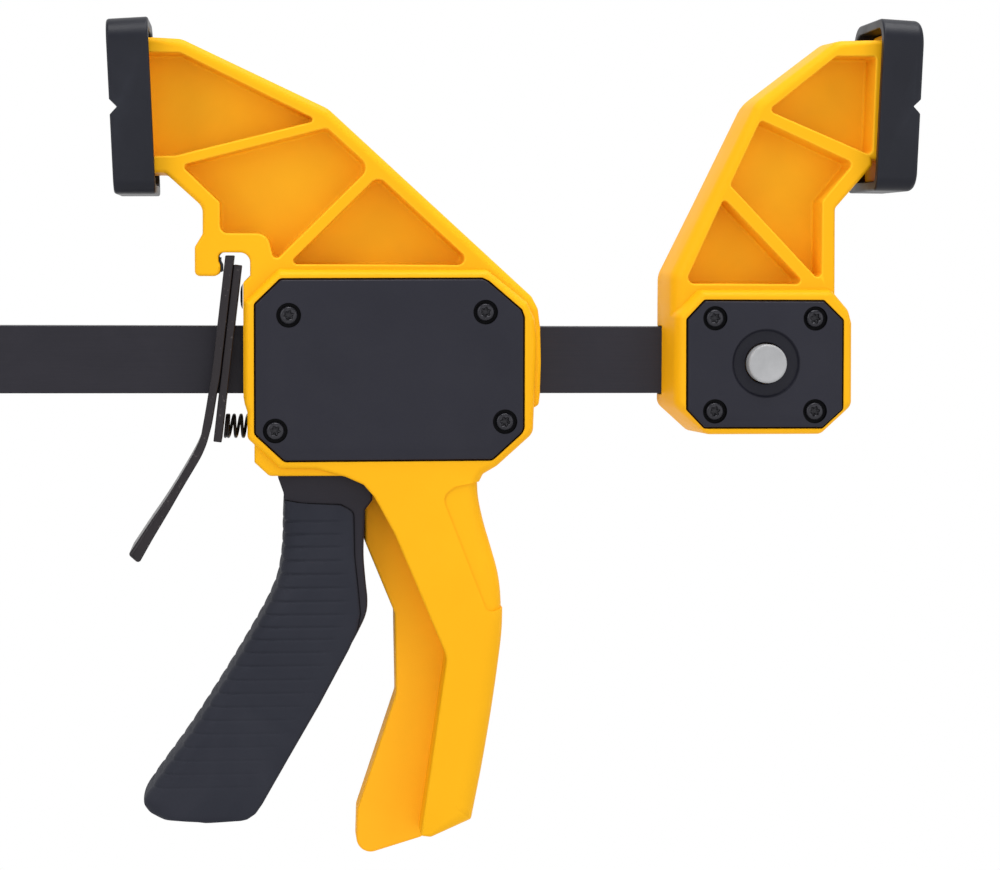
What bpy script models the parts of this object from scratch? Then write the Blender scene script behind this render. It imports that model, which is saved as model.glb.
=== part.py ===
"""Quick release bar clamp, one-handed, set up as a spreader.

A moulded trigger head and a moulded fixed jaw sit on a flat steel bar.  The
trigger drives a stack of steel plates that push the bar through the head, and
a tilted brake plate with a bent release lever locks it.  The fixed jaw holds
the bar with a sprung plunger that a round button works.

Millimetres are used in this file and turned into metres as meshes are made.
Shapes are drawn in the clamp frame: x along the bar, z up from the centre of
the bar, y away from the front.  The clamp frame is an empty that lies
ORIGIN_Z below the model origin, which is on the face of the trigger-side pad.
"""

import math

import bmesh
import bpy
from mathutils import Matrix, Vector

for old in list(bpy.data.objects):
    bpy.data.objects.remove(old, do_unlink=True)

MM = 0.001

# ---------------------------------------------------------------- dimensions
ORIGIN_Z = 90.1          # bar centre to the middle of the upper pad flat
GAP = 0.3                # clearance between parts that touch

BAR_HEIGHT = 20.8
BAR_THICK = 8.0
BAR_LENGTH = 521.0
BAR_RIGHT = 225.0        # right end, inside the fixed jaw
BAR_LEFT = BAR_RIGHT - BAR_LENGTH
KEY_INSET = 24.6         # lock hole centre to the bar's end
KEY_HOLE_R = 4.7
KEY_SLOT = 5.2

ARM_HALF = 15.0          # half thickness of the moulded arms
WEB_HALF = 2.5           # half thickness of the wall behind the arm pockets
BODY_HALF = 19.0         # half thickness of the head, the grip and the jaw box
SKIRT_HALF = 17.5        # half thickness of the housing's low skirt, below the raised rim
GRIP_WEB_HALF = 6.0      # half thickness of the thin centre wall of the grip
CAVITY_HALF = 16.0       # inside half width of the mechanism space
SEAT_HALF = 17.8         # the cover plates sit on this plane
COVER_HALF = 19.8        # outer face of the cover plates
SLOT_Z = 10.8            # bar slot in the mouldings, half height
SLOT_Y = 4.35            # bar slot in the mouldings, half width

PIVOT = (64.0, 17.0)     # trigger pin
PIVOT_R = 3.0
PLATE_X = 74.5           # left face of the first drive plate
PLATE_T = 2.4
PLATE_COUNT = 3
CAVITY_RIGHT = 108.3

BRAKE_AXIS = (37.2, 23.5)
BRAKE_TILT = math.radians(6.65)
LEVER_T = 2.5
LEVER_TOP = (34.5, 32.1)

BUTTON_X = BAR_RIGHT - KEY_INSET
BUTTON_Z = -0.4
BUTTON_R = 6.0

PAD_T = 12.7             # pad thickness, face to arm side
PAD_HALF = 20.5          # pad half depth
PAD_TOE = math.radians(2.15)
PAD_SKIN = 4.4           # pad material in front of the arm's end plate

SCREW_HEAD_R = 3.2
SCREW_WELL_R = 3.6
SCREW_R = 1.5
HEAD_SCREWS = [(53.6, 14.1), (113.5, 15.2), (49.5, -21.0), (119.6, -18.3)]
JAW_SCREWS = [(184.4, 13.5), (215.7, 13.5), (184.6, -15.2), (215.9, -15.2)]

COLOURS = {
    "yellow": ((0.93, 0.50, 0.012), 0.38, 0.0),
    "cover": ((0.032, 0.032, 0.042), 0.45, 0.0),
    "rubber": ((0.026, 0.026, 0.032), 0.62, 0.0),
    "grip": ((0.035, 0.034, 0.042), 0.55, 0.0),
    "bar": ((0.040, 0.039, 0.048), 0.36, 1.0),
    "steel": ((0.050, 0.043, 0.045), 0.40, 1.0),
    "screw": ((0.020, 0.018, 0.026), 0.35, 1.0),
    "bright": ((0.55, 0.55, 0.57), 0.30, 1.0),
    "button": ((0.44, 0.45, 0.47), 0.40, 0.0),
}


# ------------------------------------------------------------------- helpers
def rounded(points, step=math.radians(18)):
    """Closed outline from corners (x, z) or (x, z, radius)."""
    out = []
    n = len(points)
    for i, corner in enumerate(points):
        r = corner[2] if len(corner) > 2 else 0.0
        p = Vector(corner[:2])
        if r <= 0:
            out.append(tuple(p))
            continue
        a = (Vector(points[i - 1][:2]) - p)
        b = (Vector(points[(i + 1) % n][:2]) - p)
        a.normalize()
        b.normalize()
        half = math.acos(max(-1, min(1, a.dot(b)))) / 2
        reach = r / math.tan(half)
        start, end = p + a * reach, p + b * reach
        centre = p + (a + b).normalized() * (r / math.sin(half))
        a0 = math.atan2(start.y - centre.y, start.x - centre.x)
        a1 = math.atan2(end.y - centre.y, end.x - centre.x)
        turn = (a1 - a0 + math.pi) % (2 * math.pi) - math.pi
        k = max(1, round(abs(turn) / step))
        for j in range(k + 1):
            t = a0 + turn * j / k
            out.append((centre.x + r * math.cos(t), centre.y + r * math.sin(t)))
    return out


def spline(points, per=3):
    """Smooth open line through the points (Catmull-Rom)."""
    pts = [Vector(p) for p in points]
    ext = [pts[0] * 2 - pts[1]] + pts + [pts[-1] * 2 - pts[-2]]
    out = []
    for i in range(1, len(ext) - 2):
        p0, p1, p2, p3 = ext[i - 1:i + 3]
        for j in range(per):
            t = j / per
            out.append(tuple(0.5 * ((2 * p1) + (p2 - p0) * t + (2 * p0 - 5 * p1 + 4 * p2 - p3) * t * t
                                    + (3 * p1 - p0 - 3 * p2 + p3) * t ** 3)))
    out.append(tuple(pts[-1]))
    return out


def shifted(line, d):
    """Open line moved sideways by d, to its left as it runs."""
    out = []
    for i, p in enumerate(line):
        a = Vector(line[max(0, i - 1)])
        b = Vector(line[min(len(line) - 1, i + 1)])
        t = (b - a).normalized()
        out.append((p[0] - t.y * d, p[1] + t.x * d))
    return out


def grown(outline, d):
    """Closed convex-ish outline moved outward by d."""
    area = sum(outline[i - 1][0] * outline[i][1] - outline[i][0] * outline[i - 1][1]
               for i in range(len(outline)))
    s = -1 if area > 0 else 1
    out = []
    n = len(outline)
    for i in range(n):
        a, p, b = Vector(outline[i - 1][:2]), Vector(outline[i][:2]), Vector(outline[(i + 1) % n][:2])
        u, v = (p - a).normalized(), (b - p).normalized()
        nu, nv = Vector((-u.y, u.x)) * s, Vector((-v.y, v.x)) * s
        m = (nu + nv)
        m = m / max(0.2, m.dot(nu))
        out.append(tuple(p + m * d) + tuple(outline[i][2:]))
    return out


def circle(x, z, r, n=20):
    return [(x + r * math.cos(2 * math.pi * i / n), z + r * math.sin(2 * math.pi * i / n)) for i in range(n)]


def box_outline(x0, x1, z0, z1, r=0.0):
    return rounded([(x0, z0, r), (x1, z0, r), (x1, z1, r), (x0, z1, r)])


def make(name, bm):
    bmesh.ops.remove_doubles(bm, verts=bm.verts, dist=1e-5 * MM)
    bmesh.ops.recalc_face_normals(bm, faces=bm.faces)
    mesh = bpy.data.meshes.new(name)
    bm.to_mesh(mesh)
    bm.free()
    obj = bpy.data.objects.new(name, mesh)
    bpy.context.scene.collection.objects.link(obj)
    return obj


def prism(name, outline, y0, y1):
    """Outline in x and z, extruded from y0 to y1."""
    bm = bmesh.new()
    near = [bm.verts.new((x * MM, y0 * MM, z * MM)) for x, z in outline]
    face = bm.faces.new(near)
    moved = bmesh.ops.extrude_face_region(bm, geom=[face])["geom"]
    for v in moved:
        if isinstance(v, bmesh.types.BMVert):
            v.co.y = y1 * MM
    return make(name, bm)


def loft(name, sections):
    """Closed skin through outlines in x and z that have the same number of points."""
    bm = bmesh.new()
    rings = [[bm.verts.new((x * MM, y * MM, z * MM)) for x, z in outline] for y, outline in sections]
    n = len(rings[0])
    for a, b in zip(rings, rings[1:]):
        for i in range(n):
            j = (i + 1) % n
            bm.faces.new((a[i], a[j], b[j], b[i]))
    bm.faces.new(rings[0])
    bm.faces.new(list(reversed(rings[-1])))
    return make(name, bm)


def skin(name, rings):
    """Closed skin through rings of points (x, y, z) that have the same number of points."""
    bm = bmesh.new()
    rings = [[bm.verts.new((x * MM, y * MM, z * MM)) for x, y, z in ring] for ring in rings]
    n = len(rings[0])
    for a, b in zip(rings, rings[1:]):
        for i in range(n):
            j = (i + 1) % n
            bm.faces.new((a[i], a[j], b[j], b[i]))
    bm.faces.new(rings[0])
    bm.faces.new(list(reversed(rings[-1])))
    return make(name, bm)


def prism_x(name, outline, x0, x1):
    """Outline in y and z, extruded from x0 to x1."""
    bm = bmesh.new()
    near = [bm.verts.new((x0 * MM, y * MM, z * MM)) for y, z in outline]
    face = bm.faces.new(near)
    moved = bmesh.ops.extrude_face_region(bm, geom=[face])["geom"]
    for v in moved:
        if isinstance(v, bmesh.types.BMVert):
            v.co.x = x1 * MM
    return make(name, bm)


def turned(name, profile, x, z, n=16, axis="y"):
    """Solid of revolution: profile of (radius, position), about a line through x, z along y,
    or along x through y=x, z=z."""
    bm = bmesh.new()
    rings = []
    for r, s in profile:
        ring = []
        for i in range(n):
            a = 2 * math.pi * i / n
            p, q = r * math.cos(a), r * math.sin(a)
            ring.append(bm.verts.new((((x + p) * MM, s * MM, (z + q) * MM) if axis == "y"
                                      else (s * MM, (x + p) * MM, (z + q) * MM))))
        rings.append(ring)
    for a, b in zip(rings, rings[1:]):
        for i in range(n):
            j = (i + 1) % n
            bm.faces.new((a[i], a[j], b[j], b[i]))
    bm.faces.new(rings[0])
    bm.faces.new(list(reversed(rings[-1])))
    return make(name, bm)


def coil(name, centre, axis, r, wire, length, turns, per_turn=14, sides=6):
    """Compression spring with closed ends, from centre along axis ('x' or 'y')."""
    bm = bmesh.new()
    steps = int(turns * per_turn)
    rings = []
    for i in range(steps + 1):
        t = i / steps
        a = 2 * math.pi * turns * t
        flat = 0.75 / turns
        if t < flat:
            u = 0.35 * t * t / flat
        elif t > 1 - flat:
            u = 1 - 0.35 * (1 - t) ** 2 / flat
        else:
            lo, hi = 0.35 * flat, 1 - 0.35 * flat
            u = lo + (hi - lo) * (t - flat) / (1 - 2 * flat)
        s = wire + u * (length - 2 * wire)
        out = Vector((0, math.cos(a), math.sin(a)))
        along = Vector((1, 0, 0))
        ring = []
        for k in range(sides):
            b = 2 * math.pi * k / sides
            p = out * (r + wire * math.cos(b)) + along * (s + wire * math.sin(b))
            if axis == "y":
                p = Vector((p.y, p.x, p.z))
            ring.append(bm.verts.new((p + Vector(centre)) * MM))
        rings.append(ring)
    for a, b in zip(rings, rings[1:]):
        for k in range(sides):
            j = (k + 1) % sides
            bm.faces.new((a[k], a[j], b[j], b[k]))
    bm.faces.new(rings[0])
    bm.faces.new(list(reversed(rings[-1])))
    return make(name, bm)


def combine(obj, other, operation):
    mod = obj.modifiers.new(operation, "BOOLEAN")
    mod.operation = operation
    mod.solver = "EXACT"
    mod.object = other
    graph = bpy.context.evaluated_depsgraph_get()
    mesh = bpy.data.meshes.new_from_object(obj.evaluated_get(graph))
    obj.modifiers.clear()
    obj.data = mesh
    mesh.name = obj.name
    bpy.data.objects.remove(other, do_unlink=True)
    return obj


def cut(obj, *others):
    for other in others:
        combine(obj, other, "DIFFERENCE")
    return obj


def keep_inside(obj, other):
    return combine(obj, other, "INTERSECT")


def join(obj, *others):
    for other in others:
        combine(obj, other, "UNION")
    return obj


def both_sides(outline, inner, outer):
    """Two prisms, front and back, between half depths inner and outer."""
    return [prism("front", outline, -outer, -inner), prism("back", outline, inner, outer)]


# ------------------------------------------------------------ frames, finish
def empty(name, location, parent=None):
    e = bpy.data.objects.new(name, None)
    e.location = tuple(c * MM for c in location)
    e.parent = parent
    bpy.context.scene.collection.objects.link(e)
    return e


clamp_frame = empty("clamp_frame", (0, 0, -ORIGIN_Z))
trigger_axis = empty("trigger_axis", (PIVOT[0], 0, PIVOT[1]), clamp_frame)
brake_axis = empty("brake_axis", (BRAKE_AXIS[0], 0, BRAKE_AXIS[1]), clamp_frame)
bar_frame = empty("bar_frame", (BAR_RIGHT, 0, 0), clamp_frame)
plate_frame = empty("plate_frame", (PLATE_X, 0, 0), clamp_frame)
button_frame = empty("button_frame", (BUTTON_X - BAR_RIGHT, 0, BUTTON_Z), bar_frame)


def finish(obj, finish_name, parent=clamp_frame):
    """Parents a piece drawn in the clamp frame and gives it its material."""
    offset = Vector((0, 0, 0))
    p = parent
    while p is not None and p is not clamp_frame:
        offset += p.location
        p = p.parent
    obj.data.transform(Matrix.Translation(-offset))
    obj.parent = parent
    colour, rough, metal = COLOURS[finish_name]
    mat = bpy.data.materials.new(obj.name)
    mat.use_nodes = True
    shader = mat.node_tree.nodes["Principled BSDF"]
    shader.inputs["Base Color"].default_value = (*colour, 1)
    shader.inputs["Roughness"].default_value = rough
    shader.inputs["Metallic"].default_value = metal
    mat.diffuse_color = (*colour, 1)
    obj.data.materials.clear()
    obj.data.materials.append(mat)
    obj.data.shade_smooth()
    obj.data.set_sharp_from_angle(angle=math.radians(32))
    return obj


# ---------------------------------------------------------------- pad frames
def pad_point(side, s, t):
    """A point of a pad's own frame: s into the pad from its face, t up its face."""
    x0 = 0.0 if side < 0 else 248.1
    c, k = math.cos(PAD_TOE), math.sin(PAD_TOE)
    return (x0 - side * (s * c - t * k), ORIGIN_Z + s * k + t * c)


def pad_block(name, side, s0, s1, half, top, low, r_top, r_low):
    """Block in a pad's frame, from depth s0 to s1, with rounded corners seen along the bar."""
    section = rounded([(-half, low, r_low), (half, low, r_low), (half, top, r_top), (-half, top, r_top)])
    return skin(name, [[(pad_point(side, s, t)[0], y, pad_point(side, s, t)[1]) for y, t in section] for s in (s0, s1)])


# Top and low end of each pad, the groove's height, and the top and low end of the arm behind it.
LEFT_PAD = (12.85, -39.65, -13.8, 7.0, -33.7)
RIGHT_PAD = (15.3, -37.25, -11.4, 8.8, -27.9)
RIM_TOP, RIM_LOW, RIM_SIDE = 2.9, 3.0, 3.0      # wall of the pad round its socket


def end_flange(side, top, low):
    """Plate at the arm's end that fills the bottom of the pad's socket."""
    return pad_block("flange", side, PAD_SKIN + GAP, PAD_SKIN + GAP + 3.0, PAD_HALF - RIM_SIDE - GAP,
                     top - RIM_TOP - GAP, low + RIM_LOW + GAP, 4.7, 1.7)


# ------------------------------------------------------------- trigger head
ARM_TOP, ARM_LOW = LEFT_PAD[3:]        # pad end of the arm, in the pad's frame
arm = rounded([
    (*pad_point(-1, PAD_SKIN + GAP + 1.5, ARM_TOP),), (*pad_point(-1, PAD_T + 0.4, ARM_TOP),),
    (21.5, 97.3, 6), (65.7, 76.8, 8), (128.3, 19.9, 2.5), (130.2, 16.1, 3.0), (130.9, 10.5), (131.2, 0.0),
    (130.9, -10.5), (130.5, -13.4, 1.2), (128.6, -14.6), (41.6, -14.8, 0.8), (40.4, -13.6, 1.0), (39.9, -11.0),
    (39.9, 23.8, 0.8), (42.0, 25.9, 0.6),
    (42.0, 33.0, 3.2), (32.6, 33.0, 1.4), (32.6, 25.8, 2.0), (25.3, 25.8, 1.6),
    (25.3, 34.6, 2.0), (27.7, 38.6, 2.0), (27.7, 46.8, 4.0), (16.5, 56.9, 1.5),
    (*pad_point(-1, PAD_T + 0.4, ARM_LOW),), (*pad_point(-1, PAD_SKIN + GAP + 1.5, ARM_LOW),)])

palm_side = spline([(111.8, -37.3), (112.2, -42.1), (113.8, -49.3), (116.1, -57.0), (118.3, -65.0),
                    (119.3, -72.9), (119.3, -82.4), (118.1, -93.5), (115.9, -109.2), (113.2, -125.4),
                    (110.7, -138.5)], 3)
head = rounded([
    (41.1, 18.8, 1.5), (50.5, 28.0, 2.0), (114.2, 28.1, 2.5), (126.6, 18.2, 2.5), (129.0, 13.0, 3.0), (129.5, 6.0),
    (128.5, -22.0, 4.0), (117.4, -32.0, 3.0), (113.1, -34.6, 1.5),
    *palm_side, (109.9, -142.1, 1.2), (97.2, -147.1, 1.5), (94.2, -146.6, 0.5), (94.6, -143.7),
    (102.1, -91.0, 7.0), (86.6, -52.7), (79.7, -41.4, 1.0), (76.4, -37.6, 1.0),
    (71.0, -35.2, 2.5), (62.0, -32.8, 5.0), (51.0, -32.6, 1.5), (41.1, -23.4, 2.0)])
skirt = rounded([(43.2, -18.0), (43.2, -30.8, 0.8), (47.7, -35.0, 2.0), (70.0, -35.0, 2.0), (74.0, -34.0), (84.0, -34.0),
                 (84.0, -18.0)])
grip_web = rounded([(77.2, -40.1), (77.4, -56.6, 1.0), (86.6, -78.9, 3.0), (87.1, -104.2, 4.0), (75.0, -140.9, 3.0),
                    (74.6, -156.0, 4.5), (95.9, -149.6, 3.0), (104.2, -130.8), (106.1, -90.4), (90.0, -50.1),
                    (86.0, -40.1)])

pocket_1 = rounded([(10.4, 93.1, 0.8), (21.1, 93.1, 3.0), (61.0, 73.8, 1.2), (19.6, 62.1, 3.0), (11.6, 61.8, 0.8)])
pocket_2 = rounded([(21.3, 59.25, 1.0), (65.3, 70.85, 1.6), (78.5, 59.0, 3.3), (50.5, 31.3, 1.2), (48.9, 31.8, 0.8),
                    (47.2, 38.8, 4.0), (32.9, 38.8, 2.2), (32.9, 48.1, 1.5)])
pocket_3 = rounded([(53.6, 29.5, 1.0), (80.9, 56.5, 2.8), (110.4, 29.5, 2.0)])

cover = rounded([(43.4, -22.0, 1.4), (43.4, 17.4, 1.0), (51.2, 25.0, 1.4), (112.5, 25.4, 1.5), (114.4, 24.5, 0.8),
                 (124.5, 15.9, 1.2), (125.3, 13.7, 0.8), (125.4, -21.2, 3.5), (115.7, -30.0, 2.0), (52.3, -30.3, 2.0)])

mechanism_space = box_outline(58.6, CAVITY_RIGHT, -28.0, 22.3, 1.5)
trigger_mouth = [(49.9, -50.0), (49.9, -33.0), (53.2, -28.0), (53.2, -24.5), (76.7, -24.5), (76.7, -50.0)]
trigger_slots = [(74.0, -24.5), (92.6, -24.5), (92.6, -46.0), (93.4, -56.0), (95.6, -63.0), (97.5, -69.5),
                 (97.9, -78.8), (94.0, -84.0), (74.0, -84.0)]

main_body = prism("main_body", head, -BODY_HALF, BODY_HALF)
pad_arm = join(prism("arm", arm, -ARM_HALF, ARM_HALF), end_flange(-1, *LEFT_PAD[:2]))
join(main_body, pad_arm, prism("skirt", skirt, -SKIRT_HALF, SKIRT_HALF))
join(main_body, prism("web", grip_web, -GRIP_WEB_HALF, GRIP_WEB_HALF))
for pocket in (pocket_1, pocket_2, pocket_3):
    cut(main_body, *both_sides(pocket, WEB_HALF, BODY_HALF + 1))
cut(main_body, *both_sides(grown(cover, GAP), SEAT_HALF, BODY_HALF + 1))
cut(main_body, prism("space", mechanism_space, -CAVITY_HALF, CAVITY_HALF))
cut(main_body, prism("mouth", trigger_mouth, -CAVITY_HALF, CAVITY_HALF))
cut(main_body, *both_sides(trigger_slots, GRIP_WEB_HALF, CAVITY_HALF))
cut(main_body, prism("window", box_outline(73.0, 105.0, -15.0, 19.0, 2.0), -SEAT_HALF - 1, SEAT_HALF + 1))
cut(main_body, prism_x("bar_slot", [(-SLOT_Y, -SLOT_Z), (SLOT_Y, -SLOT_Z), (SLOT_Y, SLOT_Z), (-SLOT_Y, SLOT_Z)], 30, 140))
cut(main_body, turned("pin_hole", [(PIVOT_R + GAP, -25), (PIVOT_R + GAP, 25)], *PIVOT, 16))
cut(main_body, turned("spring_pocket", [(4.2, 36.0), (4.2, 45.2)], 0.0, -20.7, 16, "x"))
for x, z in HEAD_SCREWS:
    for side in (-1, 1):
        cut(main_body, turned("screw_hole", [(SCREW_R + GAP, side * 9.0), (SCREW_R + GAP, side * 25)], x, z, 12))
finish(main_body, "yellow")


def cover_plate(name, outline, screws, side, button=False):
    lo, hi = sorted((side * SEAT_HALF, side * COVER_HALF))
    plate = prism(name, outline, lo, hi)
    if button:
        cut(plate, turned("dish", [(10.3, -COVER_HALF + 1.0), (10.3, -25)], BUTTON_X, BUTTON_Z, 28))
        cut(plate, turned("hole", [(BUTTON_R + 0.4, -10), (BUTTON_R + 0.4, -25)], BUTTON_X, BUTTON_Z, 24))
    for x, z in screws:
        cut(plate, turned("well", [(SCREW_WELL_R, side * (COVER_HALF - 1.1)), (SCREW_WELL_R, side * 25)], x, z, 16))
        cut(plate, turned("hole", [(SCREW_R + GAP, side * 10), (SCREW_R + GAP, side * 25)], x, z, 12))
    return plate


def screw(name, x, z, side):
    h = side * (COVER_HALF - 0.2)
    under = side * (COVER_HALF - 1.1 + 0.15)
    return turned(name, [(SCREW_HEAD_R - 0.5, h), (SCREW_HEAD_R, h - side * 0.35), (SCREW_HEAD_R, under),
                         (SCREW_R, under), (SCREW_R, side * 9.6), (SCREW_R - 0.5, side * 9.2)], x, z, 12)


finish(cover_plate("front_cover_plate", grown(cover, 0.0), HEAD_SCREWS, -1), "cover")
finish(cover_plate("rear_cover_plate", grown(cover, 0.0), HEAD_SCREWS, 1), "cover")
for i, (x, z) in enumerate(HEAD_SCREWS, 1):
    finish(screw(f"front_cover_screw_{i}", x, z, -1), "screw")
    finish(screw(f"rear_cover_screw_{i}", x, z, 1), "screw")

finish(turned("trigger_pivot_pin", [(PIVOT_R - 0.4, -17.5), (PIVOT_R, -17.1), (PIVOT_R, 17.1), (PIVOT_R - 0.4, 17.5)],
              *PIVOT, 16), "steel")

# ---------------------------------------------------------------- trigger
finger_side = spline([(52.0, -39.4), (51.9, -49.8), (51.6, -58.4), (50.3, -66.9), (47.9, -73.3), (44.7, -79.6),
                      (37.7, -91.7), (30.1, -104.0), (22.0, -116.4), (13.2, -128.6), (9.6, -133.9)], 2)
back_side = spline([(46.6, -134.0), (50.1, -128.0), (56.3, -117.1), (62.7, -105.9), (68.9, -94.8), (71.9, -89.1),
                    (74.9, -83.5), (77.3, -78.1), (77.8, -73.5), (77.2, -67.4), (76.6, -59.6), (76.8, -51.9), (77.1, -45.7)], 2)
boss = [(PIVOT[0] + 5.2 * math.cos(a), PIVOT[1] + 5.2 * math.sin(a))
        for a in [math.radians(d) for d in range(0, 181, 20)]]
jacket_inner_edge = shifted(finger_side, 2.0)[2:]
core_edge = shifted(finger_side, 2.3)
channel_edge = shifted(finger_side, 5.4)

trigger_outline = rounded([
    (50.4, -35.8), (52.0, -40.3), (52.1, -42.3), (54.3, -42.3), *core_edge[2:], (11.3, -135.2), (12.9, -137.9),
    (15.9, -139.2), (27.8, -140.2), (40.9, -139.3), (44.3, -137.0), *back_side, (79.3, -42.8), (79.3, -36.0, 1.0),
    (71.2, -28.8, 2.0), (69.9, -20.5, 4.0), (74.2, 0.0, 3.0), (69.2, 10.0, 2.0), *boss,
    (59.3, -20.5), (60.2, -24.9), (53.9, -28.6), (50.5, -33.6)])
jacket_outline = rounded([
    (52.2, -42.6, 0.5), (58.0, -43.7), (69.6, -44.1, 2.0), (73.4, -46.2, 2.0), (73.7, -60.0, 8.0), (74.9, -71.5, 4.0),
    (75.6, -79.0, 1.5), (75.2, -83.6), (72.2, -89.2), (63.0, -106.0), (53.8, -122.0), (47.6, -132.9), (45.4, -136.8, 2.0),
    (43.3, -139.8, 1.5), (40.4, -141.8, 1.5), (27.8, -142.6), (14.3, -141.6), (10.9, -139.9), (8.4, -137.0), *finger_side[::-1][:-1]])

CORE_HALF, WALL_IN = 14.6, 11.0
trigger_core = prism("trigger_core", trigger_outline, -CORE_HALF, CORE_HALF)
channel = channel_edge[:-1] + [(17.5, -135.4), (33.0, -136.6), (35.0, -150.0), (90.0, -150.0), (90.0, 30.0),
                               (50.0, 30.0), (50.0, -31.0), (57.4, -33.0)]
cut(trigger_core, prism("channel", channel, -WALL_IN, WALL_IN))
rebate = grown(jacket_outline, GAP)
cut(trigger_core, *both_sides(rebate, 13.8, 16.0))
cut(trigger_core, turned("pin_hole", [(PIVOT_R + GAP, -25), (PIVOT_R + GAP, 25)], *PIVOT, 16))
finish(trigger_core, "grip", trigger_axis)

trigger_jacket = prism("trigger_grip", jacket_outline, -15.4, 15.4)
inside = [(54.1, -30.0)] + jacket_inner_edge + [(10.9, -135.5), (12.7, -138.2), (15.8, -139.5), (27.8, -140.5),
                                                (40.9, -139.7), (37.8, -144.0), (60.0, -144.0), (95.0, -100.0), (95.0, -30.0)]
cut(trigger_jacket, prism("inside", inside, -14.1, 14.1))
finish(trigger_jacket, "grip", trigger_axis)

# ------------------------------------------------------------- drive plates
for i in range(PLATE_COUNT):
    x = PLATE_X + i * (PLATE_T + GAP)
    plate = prism_x(f"drive_plate_{i + 1}", rounded([(-15, -19, 2), (15, -19, 2), (15, 19, 2), (-15, 19, 2)]),
                    x, x + PLATE_T)
    cut(plate, prism_x("hole", [(-4.4, -10.85), (4.4, -10.85), (4.4, 10.85), (-4.4, 10.85)], x - 1, x + PLATE_T + 1))
    finish(plate, "steel", plate_frame)
stack_end = PLATE_X + PLATE_COUNT * (PLATE_T + GAP)
finish(coil("drive_spring", (stack_end, 0, 0), "x", 12.45, 0.75, CAVITY_RIGHT - GAP - stack_end, 5.5, 18), "bright")

# ------------------------------------------- brake plate and release lever
tilt = math.tan(BRAKE_TILT)
flat_w = LEVER_T / math.cos(BRAKE_TILT)


def lever_x(z):
    """Left face of the lever at height z, above its bend."""
    return LEVER_TOP[0] - (LEVER_TOP[1] - z) * tilt


lever_left = [(29.1, -10.7), (28.3, -15.5), (27.4, -20.4), (26.9, -22.9), (26.0, -25.3), (24.8, -27.8), (23.5, -30.2),
              (20.6, -35.1), (17.6, -40.0), (14.4, -44.9), (11.0, -49.8), (4.7, -59.3, 0.8)]
lever_right = [(8.0, -62.0, 0.8), (12.1, -54.7), (15.0, -49.8), (17.9, -44.9), (20.7, -40.0), (23.6, -35.1),
               (26.5, -30.2), (27.7, -27.8), (28.7, -25.3), (29.4, -22.9), (30.0, -20.4), (30.85, -15.5), (31.65, -10.7)]
lever = prism("release_lever", rounded([
    (*LEVER_TOP, 0.3), (lever_x(0.0), 0.0), *lever_left, *lever_right, (lever_x(0.0) + flat_w, 0.0),
    (LEVER_TOP[0] + flat_w, LEVER_TOP[1], 0.3)], math.radians(30)), -14, 14)
cut(lever, prism_x("window", [(-4.9, -12.2), (4.9, -12.2), (4.9, 12.4), (-4.9, 12.4)], 10, 60))
finish(lever, "steel", brake_axis)

left = lever_x(29.3) + flat_w + GAP
brake = prism("brake_plate", [(left, 29.3), (left + flat_w, 29.0), (left + flat_w - (29.0 + 25.0) * tilt, -25.0),
                              (left - (29.3 + 24.7) * tilt, -24.7)], -13, 13)
cut(brake, prism_x("hole", [(-4.4, -11.3), (4.4, -11.3), (4.4, 11.3), (-4.4, 11.3)], 10, 60))
finish(brake, "steel", brake_axis)

spring_left = left + flat_w - (29.0 + 17.0) * tilt + 0.3
finish(coil("brake_spring", (spring_left, 0, -20.7), "x", 3.3, 0.5, 45.2 - GAP - spring_left, 5.5, 14), "steel")
finish(prism("fulcrum_strip", rounded([(32.9, 27.2, 0.2), (33.55, 27.4, 0.2), (33.55, 31.7, 0.2), (32.9, 32.0, 0.2)], math.radians(45)),
             -13.5, 13.5), "screw")
finish(prism("brake_stop", [(39.6, 23.3), (39.15, 22.3), (39.0, 20.9), (39.0, 18.1), (39.2, 16.7), (39.6, 15.7)],
             -8, 8), "rubber")

# ------------------------------------------------------------------- bar
bar = prism("clamp_bar", [(BAR_LEFT, -BAR_HEIGHT / 2), (BAR_RIGHT, -BAR_HEIGHT / 2), (BAR_RIGHT, BAR_HEIGHT / 2),
                          (BAR_LEFT, BAR_HEIGHT / 2)], -BAR_THICK / 2, BAR_THICK / 2)
for end, out in ((BAR_RIGHT, 1), (BAR_LEFT, -1)):
    hole = end - out * KEY_INSET
    a = math.asin(KEY_SLOT / 2 / KEY_HOLE_R)
    n = 22
    arc = [(hole + out * KEY_HOLE_R * math.cos(a + (2 * math.pi - 2 * a) * i / n),
            BUTTON_Z + KEY_HOLE_R * math.sin(a + (2 * math.pi - 2 * a) * i / n)) for i in range(n + 1)]
    cut(bar, prism("keyhole", arc + [(end + out * 2, BUTTON_Z - KEY_SLOT / 2), (end + out * 2, BUTTON_Z + KEY_SLOT / 2)],
                   -8, 8))
finish(bar, "bar", bar_frame)

# -------------------------------------------------------------- fixed jaw
JAW_TOP, JAW_LOW = RIGHT_PAD[3:]


def jaw_arm(d):
    """Outline of the jaw's arm, with its bar side moved out by d."""
    return rounded([
        (*pad_point(1, PAD_SKIN + GAP + 1.5, JAW_TOP),), (*pad_point(1, PAD_T + 0.4, JAW_TOP),), (222.9 - d, 99.1, 5.0),
        (197.8 - d, 79.9, 6.0), (172.1 - d, 26.5, 3.0), (172.2 - d, -9.7), (223.0, -9.7), (222.6, 47.5, 2.0),
        (234.2, 60.9, 1.5), (*pad_point(1, PAD_T + 0.4, JAW_LOW),), (*pad_point(1, PAD_SKIN + GAP + 1.5, JAW_LOW),)])


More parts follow.
